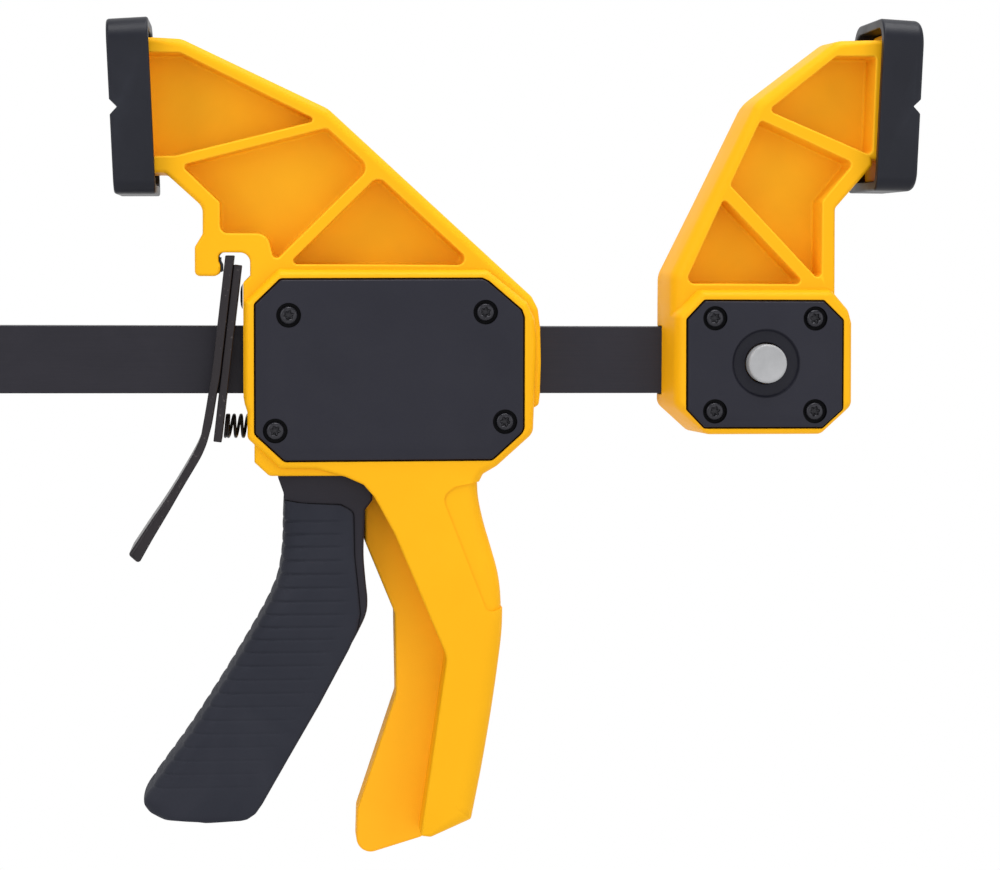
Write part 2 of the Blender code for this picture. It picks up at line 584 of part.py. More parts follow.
def jaw_box(d):
    return rounded([(172.9 - d, 14.5, 2.0), (180.4 - d, 22.2, 2.5), (221.2, 22.4, 2.5), (226.6, 15.9, 3.0),
                    (227.6, 12.0, 2.0), (227.9, -13.6, 3.0), (218.2, -22.4, 2.5), (182.7 - d, -22.5, 2.5),
                    (172.9 - d, -13.7, 2.5)])


jaw_pocket_1 = rounded([(222.4, 94.3, 1.5), (234.7, 94.3, 0.8), (233.9, 64.3, 1.2), (201.9, 77.4, 1.5)])
jaw_pocket_2 = rounded([(198.6, 73.5, 1.2), (228.2, 61.3, 1.5), (218.3, 49.6, 1.5), (218.5, 26.5, 0.8),
                        (216.4, 26.5, 0.8), (189.5, 54.4, 1.2)])
jaw_pocket_3 = rounded([(187.6, 50.3, 0.8), (175.6, 24.0, 2.0), (213.4, 24.0, 1.0)])
jaw_cover = rounded([(176.0, -14.6, 0.6), (175.8, 13.1, 0.6), (181.2, 18.9, 0.6), (218.4, 18.9, 0.6),
                     (224.5, 13.0, 0.6), (224.7, -14.6, 0.6), (218.4, -20.3, 0.6), (181.5, -20.3, 0.6)])

JAW_DRAFT = 0.18         # the bar side leans out to the middle plane, mm for each mm of depth
jaw_body = loft("jaw_body", [(y, jaw_box((BODY_HALF - abs(y)) * JAW_DRAFT)) for y in (-BODY_HALF, 0, BODY_HALF)])
join(jaw_body, loft("arm", [(y, jaw_arm((ARM_HALF - abs(y)) * JAW_DRAFT)) for y in (-ARM_HALF, 0, ARM_HALF)]))
join(jaw_body, end_flange(1, *RIGHT_PAD[:2]))
for pocket in (jaw_pocket_1, jaw_pocket_2, jaw_pocket_3):
    cut(jaw_body, *both_sides(pocket, WEB_HALF, BODY_HALF + 1))
cut(jaw_body, *both_sides(grown(jaw_cover, GAP), SEAT_HALF, BODY_HALF + 1))
cut(jaw_body, prism_x("bar_slot", [(-SLOT_Y, -SLOT_Z), (SLOT_Y, -SLOT_Z), (SLOT_Y, SLOT_Z), (-SLOT_Y, SLOT_Z)],
                      160, 240))
cut(jaw_body, turned("cap_bore", [(BUTTON_R + 0.4, -25), (BUTTON_R + 0.4, -8.6)], BUTTON_X, BUTTON_Z, 24))
cut(jaw_body, turned("neck_bore", [(2.6, -10), (2.6, -3)], BUTTON_X, BUTTON_Z, 16))
cut(jaw_body, turned("plunger_bore", [(KEY_HOLE_R, 3), (KEY_HOLE_R, 25)], BUTTON_X, BUTTON_Z, 20))
for x, z in JAW_SCREWS:
    for side in (-1, 1):
        cut(jaw_body, turned("screw_hole", [(SCREW_R + GAP, side * 9.0), (SCREW_R + GAP, side * 25)], x, z, 12))
finish(jaw_body, "yellow", bar_frame)

finish(cover_plate("jaw_front_cover", jaw_cover, JAW_SCREWS, -1, True), "cover", bar_frame)
finish(cover_plate("jaw_rear_cover", jaw_cover, JAW_SCREWS, 1), "cover", bar_frame)
for i, (x, z) in enumerate(JAW_SCREWS, 1):
    finish(screw(f"jaw_front_screw_{i}", x, z, -1), "screw", bar_frame)
    finish(screw(f"jaw_rear_screw_{i}", x, z, 1), "screw", bar_frame)

button = turned("jaw_release_button", [(BUTTON_R - 0.8, -22.8), (BUTTON_R, -22.0), (BUTTON_R, -12.9)],
                BUTTON_X, BUTTON_Z, 24)
cut(button, turned("socket", [(2.5, -10), (2.5, -17.4)], BUTTON_X, BUTTON_Z, 16))
finish(button, "button", button_frame)
finish(turned("jaw_lock_plunger", [(2.2, -17.1), (2.2, 1.0), (4.0, 1.0), (4.3, 1.3), (4.3, 8.0)],
              BUTTON_X, BUTTON_Z, 20), "bright", button_frame)
finish(coil("button_spring", (BUTTON_X, 8.2, BUTTON_Z), "y", 3.2, 0.45, SEAT_HALF - 0.3 - 8.2, 5.5, 12), "bright",
       bar_frame)


# ------------------------------------------------------------------- pads
def pad(name, side, top, low, groove):
    """Soft cap: a thick face with a V-groove, and a rim round the arm's end flange."""
    def p(s, t, r=0.0):
        return (*pad_point(side, s, t), r)
    outline = [p(0.0, low, 1.6), p(PAD_T, low, 1.0), p(PAD_T, top, 1.0), p(0.0, top, 2.2), p(0.0, groove + 1.6, 0.3),
               p(2.0, groove, 0.3), p(0.0, groove - 1.6, 0.3)]
    body = prism(name, rounded(outline), -PAD_HALF, PAD_HALF)
    keep_inside(body, pad_block("round", side, -2.0, PAD_T + 2.0, PAD_HALF, top, low, 7.5, 4.5))
    cut(body, pad_block("socket", side, PAD_SKIN, PAD_T + 2.0, PAD_HALF - RIM_SIDE, top - RIM_TOP, low + RIM_LOW, 5.0, 2.0))
    return body


finish(pad("trigger_side_pad", -1, *LEFT_PAD[:3]), "rubber")
finish(pad("jaw_pad", 1, *RIGHT_PAD[:3]), "rubber", bar_frame)

bpy.context.view_layer.update()
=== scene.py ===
"""Looks of the quick release bar clamp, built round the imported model.

Shapes are drawn in millimetres in the clamp frame (x along the bar, z up from
the bar's centre, y away from the front) and turned into metres as the meshes
are made.
"""

import math

import bmesh
import bpy
from mathutils import Matrix, Vector


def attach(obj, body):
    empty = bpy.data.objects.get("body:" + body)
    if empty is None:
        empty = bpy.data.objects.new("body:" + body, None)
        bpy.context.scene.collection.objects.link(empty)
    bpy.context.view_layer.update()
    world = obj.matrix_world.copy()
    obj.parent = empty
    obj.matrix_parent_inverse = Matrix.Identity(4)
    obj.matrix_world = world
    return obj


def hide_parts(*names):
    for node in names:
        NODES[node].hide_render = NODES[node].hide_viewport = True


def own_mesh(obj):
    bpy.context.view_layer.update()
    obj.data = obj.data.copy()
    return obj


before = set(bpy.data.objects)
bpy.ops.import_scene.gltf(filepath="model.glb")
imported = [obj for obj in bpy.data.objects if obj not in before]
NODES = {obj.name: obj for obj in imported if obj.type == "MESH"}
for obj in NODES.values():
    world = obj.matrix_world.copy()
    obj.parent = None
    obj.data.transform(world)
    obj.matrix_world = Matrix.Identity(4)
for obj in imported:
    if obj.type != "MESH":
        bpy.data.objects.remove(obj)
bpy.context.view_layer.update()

MM = 0.001
ORIGIN_Z = 90.1
GAP = 0.3
BAR_RIGHT, BAR_LENGTH, BAR_HEIGHT, BAR_THICK = 225.0, 521.0, 20.8, 8.0
BAR_LEFT = BAR_RIGHT - BAR_LENGTH
ARM_HALF, WEB_HALF, BODY_HALF, SKIRT_HALF, GRIP_WEB_HALF = 15.0, 2.5, 19.0, 17.5, 6.0
CAVITY_HALF, SEAT_HALF, COVER_HALF = 16.0, 17.8, 19.8
SLOT_Z, SLOT_Y = 10.8, 4.35
PIVOT, PIVOT_R = (64.0, 17.0), 3.0
BRAKE_AXIS, BRAKE_TILT = (37.2, 23.5), math.radians(6.65)
LEVER_T, LEVER_TOP = 2.5, (34.5, 32.1)
BUTTON_X, BUTTON_Z, BUTTON_R = 200.4, -0.4, 6.0
PAD_T, PAD_HALF, PAD_TOE, PAD_SKIN = 12.7, 20.5, math.radians(2.15), 4.4
SCREW_HEAD_R, SCREW_WELL_R, SCREW_R = 3.2, 3.6, 1.5
HEAD_SCREWS = [(53.6, 14.1), (113.5, 15.2), (49.5, -21.0), (119.6, -18.3)]
JAW_SCREWS = [(184.4, 13.5), (215.7, 13.5), (184.6, -15.2), (215.9, -15.2)]


# ------------------------------------------------------------------ materials
def new_material(name):
    m = bpy.data.materials.new(name)
    m.use_nodes = True
    nt = m.node_tree
    return m, nt, nt.nodes["Principled BSDF"], nt.nodes["Material Output"]


def add(nt, kind, **values):
    n = nt.nodes.new(kind)
    for k, v in values.items():
        setattr(n, k, v)
    return n


def ramp(nt, fac, stops):
    r = nt.nodes.new("ShaderNodeValToRGB")
    el = r.color_ramp.elements
    while len(el) < len(stops):
        el.new(0.5)
    for e, (pos, col) in zip(el, stops):
        e.position = pos
        e.color = (*col, 1)
    nt.links.new(fac, r.inputs["Fac"])
    return r.outputs["Color"]


def map_range(nt, value, a, b, c, d):
    n = nt.nodes.new("ShaderNodeMapRange")
    n.inputs["From Min"].default_value = a
    n.inputs["From Max"].default_value = b
    n.inputs["To Min"].default_value = c
    n.inputs["To Max"].default_value = d
    nt.links.new(value, n.inputs["Value"])
    return n.outputs["Result"]


def noise(nt, vector, scale, detail=3.0, rough=0.55, distortion=0.0):
    n = nt.nodes.new("ShaderNodeTexNoise")
    n.inputs["Scale"].default_value = scale
    n.inputs["Detail"].default_value = detail
    n.inputs["Roughness"].default_value = rough
    n.inputs["Distortion"].default_value = distortion
    nt.links.new(vector, n.inputs["Vector"])
    return n.outputs["Fac"]


def maths(nt, op, a, b=None):
    n = nt.nodes.new("ShaderNodeMath")
    n.operation = op
    for i, v in enumerate((a, b)):
        if v is None:
            continue
        if isinstance(v, (int, float)):
            n.inputs[i].default_value = v
        else:
            nt.links.new(v, n.inputs[i])
    return n.outputs[0]


def mix(nt, fac, a, b, mode="MIX"):
    n = nt.nodes.new("ShaderNodeMix")
    n.data_type = "RGBA"
    n.blend_type = mode
    for socket, v in ((n.inputs[0], fac), (n.inputs[6], a), (n.inputs[7], b)):
        if isinstance(v, (int, float)):
            socket.default_value = v
        elif isinstance(v, tuple):
            socket.default_value = (*v, 1)
        else:
            nt.links.new(v, socket)
    return n.outputs[2]


def bump(nt, shader, height, strength, distance):
    n = nt.nodes.new("ShaderNodeBump")
    n.inputs["Strength"].default_value = strength
    n.inputs["Distance"].default_value = distance
    nt.links.new(height, n.inputs["Height"])
    nt.links.new(n.outputs["Normal"], shader.inputs["Normal"])
    return n


def coords(nt):
    return nt.nodes.new("ShaderNodeTexCoord").outputs["Object"]


def plastic(name, low, high, rough=(0.38, 0.46), grain=0.25, grain_scale=2600.0, ior=1.46, cloud=14.0, edge=None,
            specular=None, sheen=None):
    """Moulded plastic: soft cloudy tone, spark-eroded grain, uneven gloss, colour lighter on sharp convex edges."""
    m, nt, sh, out = new_material(name)
    obj = coords(nt)
    tone = noise(nt, obj, cloud, 4.0, 0.6, 0.6)
    col = ramp(nt, tone, [(0.30, low), (0.72, high)])
    if edge is not None:
        # sharp convex edges, found by pointiness and broken up by noise, are mixed towards the lighter edge colour
        geo = nt.nodes.new("ShaderNodeNewGeometry")
        sharp_edge_lightening = maths(nt, "MULTIPLY", map_range(nt, geo.outputs["Pointiness"], 0.52, 0.62, 0.0, 1.0),
                     map_range(nt, noise(nt, obj, 160.0, 3.0), 0.35, 0.65, 0.2, 0.9))
        col = mix(nt, sharp_edge_lightening, col, edge)
    nt.links.new(col, sh.inputs["Base Color"])
    g = noise(nt, obj, grain_scale, 2.0, 0.6)
    nt.links.new(map_range(nt, noise(nt, obj, 90.0, 3.0), 0.3, 0.7, rough[0], rough[1]), sh.inputs["Roughness"])
    bump(nt, sh, g, grain, 0.00006)
    sh.inputs["IOR"].default_value = ior
    if specular is not None:
        sh.inputs["Specular IOR Level"].default_value = specular
    if sheen is not None:
        sh.inputs["Sheen Weight"].default_value = sheen
        sh.inputs["Sheen Roughness"].default_value = 0.5
    return m


def steel(name, low, high, rough=(0.3, 0.45), along="X", stretch=60.0, grain=0.2, metallic=1.0, specks=None, specular=None):
    """Rolled or ground steel: fine drawn lines along one axis, blotchy oxide and uneven gloss."""
    m, nt, sh, out = new_material(name)
    obj = coords(nt)
    mp = nt.nodes.new("ShaderNodeMapping")
    k = {"X": (1.0, stretch, stretch), "Y": (stretch, 1.0, stretch), "Z": (stretch, stretch, 1.0)}[along]
    mp.inputs["Scale"].default_value = k
    nt.links.new(obj, mp.inputs["Vector"])
    lines = noise(nt, mp.outputs["Vector"], 40.0, 5.0, 0.65)
    blot = noise(nt, obj, 55.0, 4.0, 0.6, 0.8)
    both = maths(nt, "ADD", maths(nt, "MULTIPLY", lines, 0.45), maths(nt, "MULTIPLY", blot, 0.55))
    col = ramp(nt, both, [(0.36, low), (0.64, high)])
    if specks is not None:
        s = map_range(nt, noise(nt, obj, 900.0, 2.0), 0.66, 0.74, 0.0, 0.6)
        col = mix(nt, s, col, specks)
    nt.links.new(col, sh.inputs["Base Color"])
    nt.links.new(map_range(nt, both, 0.35, 0.65, rough[0], rough[1]), sh.inputs["Roughness"])
    sh.inputs["Metallic"].default_value = metallic
    if specular is not None:
        sh.inputs["Specular IOR Level"].default_value = specular
    bump(nt, sh, lines, grain, 0.00008)
    return m


YELLOW = plastic("yellow_moulding", (0.835, 0.398, 0.0040), (0.875, 0.430, 0.0055), (0.42, 0.52), 0.22, edge=(0.96, 0.52, 0.012), specular=0.12)
# Painted light: pocket walls and floors get their own slightly brighter, paler copy of the yellow, tuned for the light
# and shade inside the pockets; the plastic is the same.
RECESS_PAINTED_LIGHT = plastic("yellow_moulding_recess_painted_light", (0.865, 0.428, 0.0140), (0.920, 0.480, 0.0170), (0.50, 0.62), 0.22, cloud=26.0, specular=0.08)
# Painted light: the recessed grip web and the trigger slots get a brighter, more orange copy of the yellow to make up
# for the shade they sit in; the plastic is the same.
WEB_PAINTED_LIGHT = plastic("yellow_moulding_web_painted_light", (0.915, 0.416, 0.0150), (0.945, 0.444, 0.0170), (0.50, 0.60), 0.22, cloud=18.0, specular=0.04)
COVER = plastic("black_cover", (0.0105, 0.0106, 0.0190), (0.0140, 0.0140, 0.0235), (0.40, 0.50), 0.45, 2200.0, specular=0.28)
PAD = plastic("pad_rubber", (0.0075, 0.0085, 0.0140), (0.0110, 0.0120, 0.0190), (0.36, 0.46), 0.35, 1500.0, cloud=30.0, edge=(0.024, 0.027, 0.038), specular=0.24)
TRIGGER = plastic("trigger_plastic", (0.0180, 0.0165, 0.0225), (0.0240, 0.0220, 0.0290), (0.46, 0.56), 0.35, specular=0.16)
GRIP = plastic("grip_rubber", (0.0225, 0.0240, 0.0330), (0.0295, 0.0310, 0.0410), (0.60, 0.70), 0.50, 1300.0, cloud=30.0, specular=0.07)
BAR = steel("bar_steel", (0.0135, 0.0125, 0.0190), (0.0195, 0.0180, 0.0255), (0.36, 0.50), "X", 50.0, 0.25, 0.30, specular=0.30)
PLATE = steel("plate_steel", (0.0130, 0.0105, 0.0130), (0.0230, 0.0190, 0.0220), (0.30, 0.44), "Z", 40.0, 0.3, 0.40, specks=(0.10, 0.085, 0.085), specular=0.35)
BRIGHT = steel("bright_steel", (0.42, 0.42, 0.44), (0.62, 0.62, 0.64), (0.22, 0.36), "X", 30.0, 0.25, 1.0)
SCREW = steel("screw_steel", (0.0120, 0.0118, 0.0165), (0.0230, 0.0225, 0.0290), (0.24, 0.36), "Y", 20.0, 0.2, 0.45, specular=0.50)
SPRING = steel("black_spring_steel", (0.0100, 0.0085, 0.0090), (0.0190, 0.0160, 0.0165), (0.28, 0.4), "X", 20.0, 0.2, 0.5, specular=0.40)
# Painted shadow: dark brown for the walls of the seat round each cover plate, standing in for the shadow in the gap.
SEAM_PAINTED_SHADOW = plastic("shaded_seam", (0.0300, 0.0110, 0.0030), (0.0420, 0.0150, 0.0035), (0.60, 0.70), 0.22, specular=0.04)
# Painted shade: near black for the walls of the screw wells, standing in for the shade inside them.
WELL_PAINTED_SHADE = plastic("shaded_well", (0.0026, 0.0026, 0.0038), (0.0040, 0.0040, 0.0056), (0.50, 0.60), 0.30, specular=0.10)
# Painted shade: a darker copy of the cover's black for the dish round the release button.
DISH_PAINTED_SHADE = plastic("shaded_dish", (0.0080, 0.0082, 0.0142), (0.0106, 0.0108, 0.0178), (0.44, 0.54), 0.40, 2200.0, specular=0.23)
BUTTON = plastic("grey_button", (0.325, 0.328, 0.338), (0.380, 0.383, 0.394), (0.30, 0.40), 0.3, 1800.0, cloud=120.0)


# -------------------------------------------------------------------- shapes
def arc_points(prev, corner, nxt, r, inset, k, sign):
    """The corner's points at an inset from the outline: an arc of k + 1 points."""
    p = Vector(corner[:2])
    a = (Vector(prev[:2]) - p).normalized()
    b = (Vector(nxt[:2]) - p).normalized()
    half = math.acos(max(-1.0, min(1.0, a.dot(b)))) / 2
    s = math.sin(half)
    both = a + b
    if both.length < 1e-6:
        both = Vector((-a.y, a.x)) * (1 if sign > 0 else -1)
    bis = both.normalized()
    d = sign * inset
    if r <= 0 or r - d <= 0:
        return [p + bis * (d / max(s, 0.15))] * (k + 1)
    centre = p + bis * (r / s)
    na = Vector((-a.y, a.x))
    if na.dot(centre - p) < 0:
        na = -na
    nb = Vector((-b.y, b.x))
    if nb.dot(centre - p) < 0:
        nb = -nb
    a0 = math.atan2(-na.y, -na.x)
    a1 = math.atan2(-nb.y, -nb.x)
    turn = (a1 - a0 + math.pi) % (2 * math.pi) - math.pi
    q = r - d
    return [centre + Vector((math.cos(a0 + turn * j / k), math.sin(a0 + turn * j / k))) * q for j in range(k + 1)]


def orientation(corners):
    return 1 if sum(corners[i - 1][0] * corners[i][1] - corners[i][0] * corners[i - 1][1]
                    for i in range(len(corners))) > 0 else -1


def plan(corners, step):
    """For each corner: whether it is convex, and how many steps its arc has."""
    n = len(corners)
    way = orientation(corners)
    out = []
    for i, c in enumerate(corners):
        a = Vector(c[:2]) - Vector(corners[i - 1][:2])
        b = Vector(corners[(i + 1) % n][:2]) - Vector(c[:2])
        cross = (a.x * b.y - a.y * b.x) * way
        turn = abs(math.atan2(a.x * b.y - a.y * b.x, a.dot(b)))
        r = c[2] if len(c) > 2 else 0.0
        out.append((1 if cross >= 0 else -1, max(1, round(turn / step)) if r > 0 else 0))
    return out


def outline(corners, inset=0.0, step=math.radians(9)):
    """Closed outline from corners (x, z, radius), moved inward by inset."""
    n = len(corners)
    out = []
    for i, (sign, k) in enumerate(plan(corners, step)):
        c = corners[i]
        r = c[2] if len(c) > 2 else 0.0
        pts = arc_points(corners[i - 1], c, corners[(i + 1) % n], r, inset, max(k, 1), sign)
        out += [tuple(p) for p in (pts if k else pts[:1])]
    return out


def spline(points, per=3):
    pts = [Vector(p[:2]) for p in points]
    ext = [pts[0] * 2 - pts[1]] + pts + [pts[-1] * 2 - pts[-2]]
    out = []
    for i in range(1, len(ext) - 2):
        p0, p1, p2, p3 = ext[i - 1:i + 3]
        for j in range(per):
            t = j / per
            out.append(tuple(0.5 * ((2 * p1) + (p2 - p0) * t + (2 * p0 - 5 * p1 + 4 * p2 - p3) * t * t
                                    + (3 * p1 - p0 - 3 * p2 + p3) * t ** 3)))
    out.append(tuple(pts[-1]))
    return out


def shifted(line, d):
    out = []
    for i, p in enumerate(line):
        a = Vector(line[max(0, i - 1)])
        b = Vector(line[min(len(line) - 1, i + 1)])
        t = (b - a).normalized()
        out.append((p[0] - t.y * d, p[1] + t.x * d))
    return out


def place(x, y, z):
    return (x * MM, y * MM, (z - ORIGIN_Z) * MM)


def make(name, bm, merge=2e-6):
    bmesh.ops.remove_doubles(bm, verts=bm.verts, dist=merge)
    bmesh.ops.dissolve_degenerate(bm, edges=bm.edges, dist=merge)
    bmesh.ops.recalc_face_normals(bm, faces=bm.faces)
    mesh = bpy.data.meshes.new(name)
    bm.to_mesh(mesh)
    bm.free()
    obj = bpy.data.objects.new(name, mesh)
    bpy.context.scene.collection.objects.link(obj)
    return obj


def tube(name, rings, caps=True):
    """Closed skin through rings of points that have the same number of points."""
    bm = bmesh.new()
    vs = [[bm.verts.new(place(*p)) for p in ring] for ring in rings]
    n = len(vs[0])
    for a, b in zip(vs, vs[1:]):
        for i in range(n):
            j = (i + 1) % n
            bm.faces.new((a[i], a[j], b[j], b[i]))
    if caps:
        bm.faces.new(vs[0])
        bm.faces.new(list(reversed(vs[-1])))
    return make(name, bm)


def quarter(k):
    return [math.pi / 2 * j / k for j in range(k + 1)]


def rounded_body(name, corners_at, half, ri=1.0, rd=None, k=5, step=math.radians(9), extra_y=(), inner=0.0):
    """Body symmetric about y = 0 with its front and back edges rounded over.
    corners_at is a list of corners, or a function of |y|. A corner may hold its own rounding: (x, z, r, inset, depth)."""
    fn = corners_at if callable(corners_at) else (lambda y: corners_at)
    base = fn(half)
    n = len(base)
    plans = plan(base, step)
    rounding = []
    for c in base:
        a = c[3] if len(c) > 3 else ri
        b = c[4] if len(c) > 4 else (c[3] if len(c) > 3 else (rd if rd is not None else ri))
        rounding.append((a, b))

    def ring(theta, side):
        out = []
        cache = {}
        for i, (sign, kk) in enumerate(plans):
            a, b = rounding[i]
            y = half - b * (1 - math.sin(theta))
            corners = cache.get(y)
            if corners is None:
                corners = cache[y] = fn(y)
            c = corners[i]
            r = c[2] if len(c) > 2 else 0.0
            pts = arc_points(corners[i - 1], c, corners[(i + 1) % n], r, inner + a * (1 - math.cos(theta)), max(kk, 1), sign)
            out += [(p[0], side * y, p[1]) for p in (pts if kk else pts[:1])]
        return out

    rings = [ring(t, -1) for t in reversed(quarter(k))]
    for y in extra_y:
        rings.append([(x, y, z) for x, z in outline(fn(abs(y)), 0.0, step)])
    rings += [ring(t, 1) for t in quarter(k)]
    return tube(name, rings)


def prism(name, pts, y0, y1):
    return tube(name, [[(x, y0, z) for x, z in pts], [(x, y1, z) for x, z in pts]])


def prism_x(name, pts, x0, x1):
    return tube(name, [[(x0, y, z) for y, z in pts], [(x1, y, z) for y, z in pts]])


def turned(name, profile, x, z, n=32, axis="y"):
    rings = []
    for r, s in profile:
        ring = []
        for i in range(n):
            a = 2 * math.pi * i / n
            p, q = r * math.cos(a), r * math.sin(a)
            ring.append((x + p, s, z + q) if axis == "y" else (s, x + p, z + q))
        rings.append(ring)
    return tube(name, rings)


def pocket_cutter(name, corners, side, half, floor, edge=0.8, draft=0.03, fillet=1.5, step=math.radians(12)):
    """Cuts a pocket whose rim is rounded by edge, with drafted walls and a filleted floor."""
    sections = [(half + 2.0, -edge)]
    for t in quarter(4):
        sections.append((half - edge * (1 - math.cos(t)), -edge * (1 - math.sin(t))))
    dr = draft * (half - edge - floor - fillet)
    for t in quarter(4):
        sections.append((floor + fillet * (1 - math.sin(t)), dr + fillet * (1 - math.cos(t))))
    rings = [[(x, side * y, z) for x, z in outline(corners, d, step)] for y, d in sections]
    return tube(name, rings)


def recess_cutter(name, corners, side, outer, floor, edge=0.35, step=math.radians(12)):
    """Cuts a flat seat with a small rounded rim."""
    sections = [(outer + 2.0, -edge)]
    for t in quarter(3):
        sections.append((outer - edge * (1 - math.cos(t)), -edge * (1 - math.sin(t))))
    sections.append((floor, 0.0))
    return tube(name, [[(x, side * y, z) for x, z in outline(corners, d, step)] for y, d in sections])


def combine(obj, other, operation):
    slots = len(obj.data.materials)
    mod = obj.modifiers.new(operation, "BOOLEAN")
    mod.operation = operation
    mod.solver = "EXACT"
    mod.material_mode = "INDEX"
    mod.object = other
    graph = bpy.context.evaluated_depsgraph_get()
    mesh = bpy.data.meshes.new_from_object(obj.evaluated_get(graph))
    if len(mesh.polygons) == 0:
        raise RuntimeError(f"{obj.name}: {operation} with {other.name} left nothing")
    obj.modifiers.clear()
    old = obj.data
    obj.data = mesh
    mesh.name = obj.name
    bpy.data.meshes.remove(old)
    used = other.data
    bpy.data.objects.remove(other, do_unlink=True)
    bpy.data.meshes.remove(used)
    return obj


def paint(obj, materials, index=0):
    obj.data.materials.clear()
    for m in materials:
        obj.data.materials.append(m)
    for p in obj.data.polygons:
        p.material_index = index
    return obj


def cut(obj, *others):
    for other in others:
        combine(obj, other, "DIFFERENCE")
    return obj


def join(obj, *others):
    for other in others:
        combine(obj, other, "UNION")
    return obj


def smooth(obj, angle=35.0, weighted=True):
    obj.data.shade_smooth()
    obj.data.set_sharp_from_angle(angle=math.radians(angle))
    if weighted:
        mod = obj.modifiers.new("even shading", "WEIGHTED_NORMAL")
        mod.mode = "FACE_AREA"
        mod.weight = 60
        mod.keep_sharp = True
    return obj


def done(obj, body, nodes, material=None, angle=35.0, weighted=True):
    """Finishes a piece: shading, material, body and the nodes it stands for."""
    if material is not None:
        paint(obj, [material])
    smooth(obj, angle, weighted)
    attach(obj, body)
    if nodes:
        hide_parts(*nodes)
    return obj


def tidy(obj, dist=4e-6):
    """Welds the hair-thin slivers that a boolean can leave."""
    bm = bmesh.new()
    bm.from_mesh(obj.data)
    bmesh.ops.remove_doubles(bm, verts=bm.verts, dist=dist)
    bmesh.ops.dissolve_degenerate(bm, edges=bm.edges, dist=dist)
    bm.to_mesh(obj.data)
    bm.free()
    return obj


def both_sides(fn, *args, **kw):
    return [fn(args[0] + tag, *args[1:2], side, *args[2:], **kw) for tag, side in (("_front", -1), ("_back", 1))]


def pad_point(side, s, t):
    x0 = 0.0 if side < 0 else 248.1
    c, k = math.cos(PAD_TOE), math.sin(PAD_TOE)
    return (x0 - side * (s * c - t * k), ORIGIN_Z + s * k + t * c)


LEFT_PAD = (12.85, -39.65, -13.8, 7.0, -33.7)
RIGHT_PAD = (15.3, -37.25, -11.4, 8.8, -27.9)
RIM_TOP, RIM_LOW, RIM_SIDE = 2.9, 3.0, 3.0


def pad_ring(side, s, half, top, low, r_top, r_low, inset=0.0, step=math.radians(7.5)):
    """Rounded rectangle across the tool, at depth s in a pad's frame."""
    section = outline([(-half, low, r_low), (half, low, r_low), (half, top, r_top), (-half, top, r_top)], inset, step)
    return [(pad_point(side, s, t)[0], y, pad_point(side, s, t)[1]) for y, t in section]


def end_flange(side, top, low):
    args = (PAD_HALF - RIM_SIDE - GAP, top - RIM_TOP - GAP, low + RIM_LOW + GAP, 4.7, 1.7)
    s0 = PAD_SKIN + GAP
    return tube("flange", [pad_ring(side, s0, *args, 0.5), pad_ring(side, s0 + 0.15, *args, 0.15), pad_ring(side, s0 + 0.5, *args),
                           pad_ring(side, s0 + 2.5, *args), pad_ring(side, s0 + 2.85, *args, 0.15), pad_ring(side, s0 + 3.0, *args, 0.5)])


# ---------------------------------------------------------------- head, grip
ARM_TOP, ARM_LOW = LEFT_PAD[3:]
arm = [
    (*pad_point(-1, PAD_SKIN + GAP + 1.5, ARM_TOP), 0.0, 1.6), (*pad_point(-1, PAD_T + 0.4, ARM_TOP), 0.0, 1.6),
    (21.5, 97.3, 6, 2.6), (65.7, 76.8, 8, 3.0), (128.3, 19.9, 2.5, 2.8), (130.2, 16.1, 3.0, 2.0), (130.9, 10.5, 0.0, 1.8),
    (131.2, 0.0, 0.0, 1.8), (130.9, -10.5, 0.0, 1.6), (130.5, -13.4, 1.2, 1.1), (128.6, -14.6, 0.0, 1.0),
    (41.6, -14.8, 0.8, 0.9), (40.4, -13.6, 1.0, 0.9), (39.9, -11.0, 0.0, 0.9), (39.9, 23.8, 0.8, 0.9), (42.0, 25.9, 0.6, 0.9),
    (42.0, 33.0, 3.0, 0.9), (32.45, 33.0, 1.5, 0.7), (32.45, 30.3, 0.6, 0.5), (33.0, 29.1, 0.9, 0.6), (33.0, 25.8, 2.1, 1.0),
    (25.3, 25.8, 1.6, 1.1), (25.3, 34.6, 2.0, 1.1), (27.7, 38.6, 2.0, 1.3), (27.7, 46.8, 4.0, 1.5), (16.5, 56.9, 1.5, 1.3),
    (*pad_point(-1, PAD_T + 0.4, ARM_LOW), 0.0, 1.2), (*pad_point(-1, PAD_SKIN + GAP + 1.5, ARM_LOW), 0.0, 1.2)]

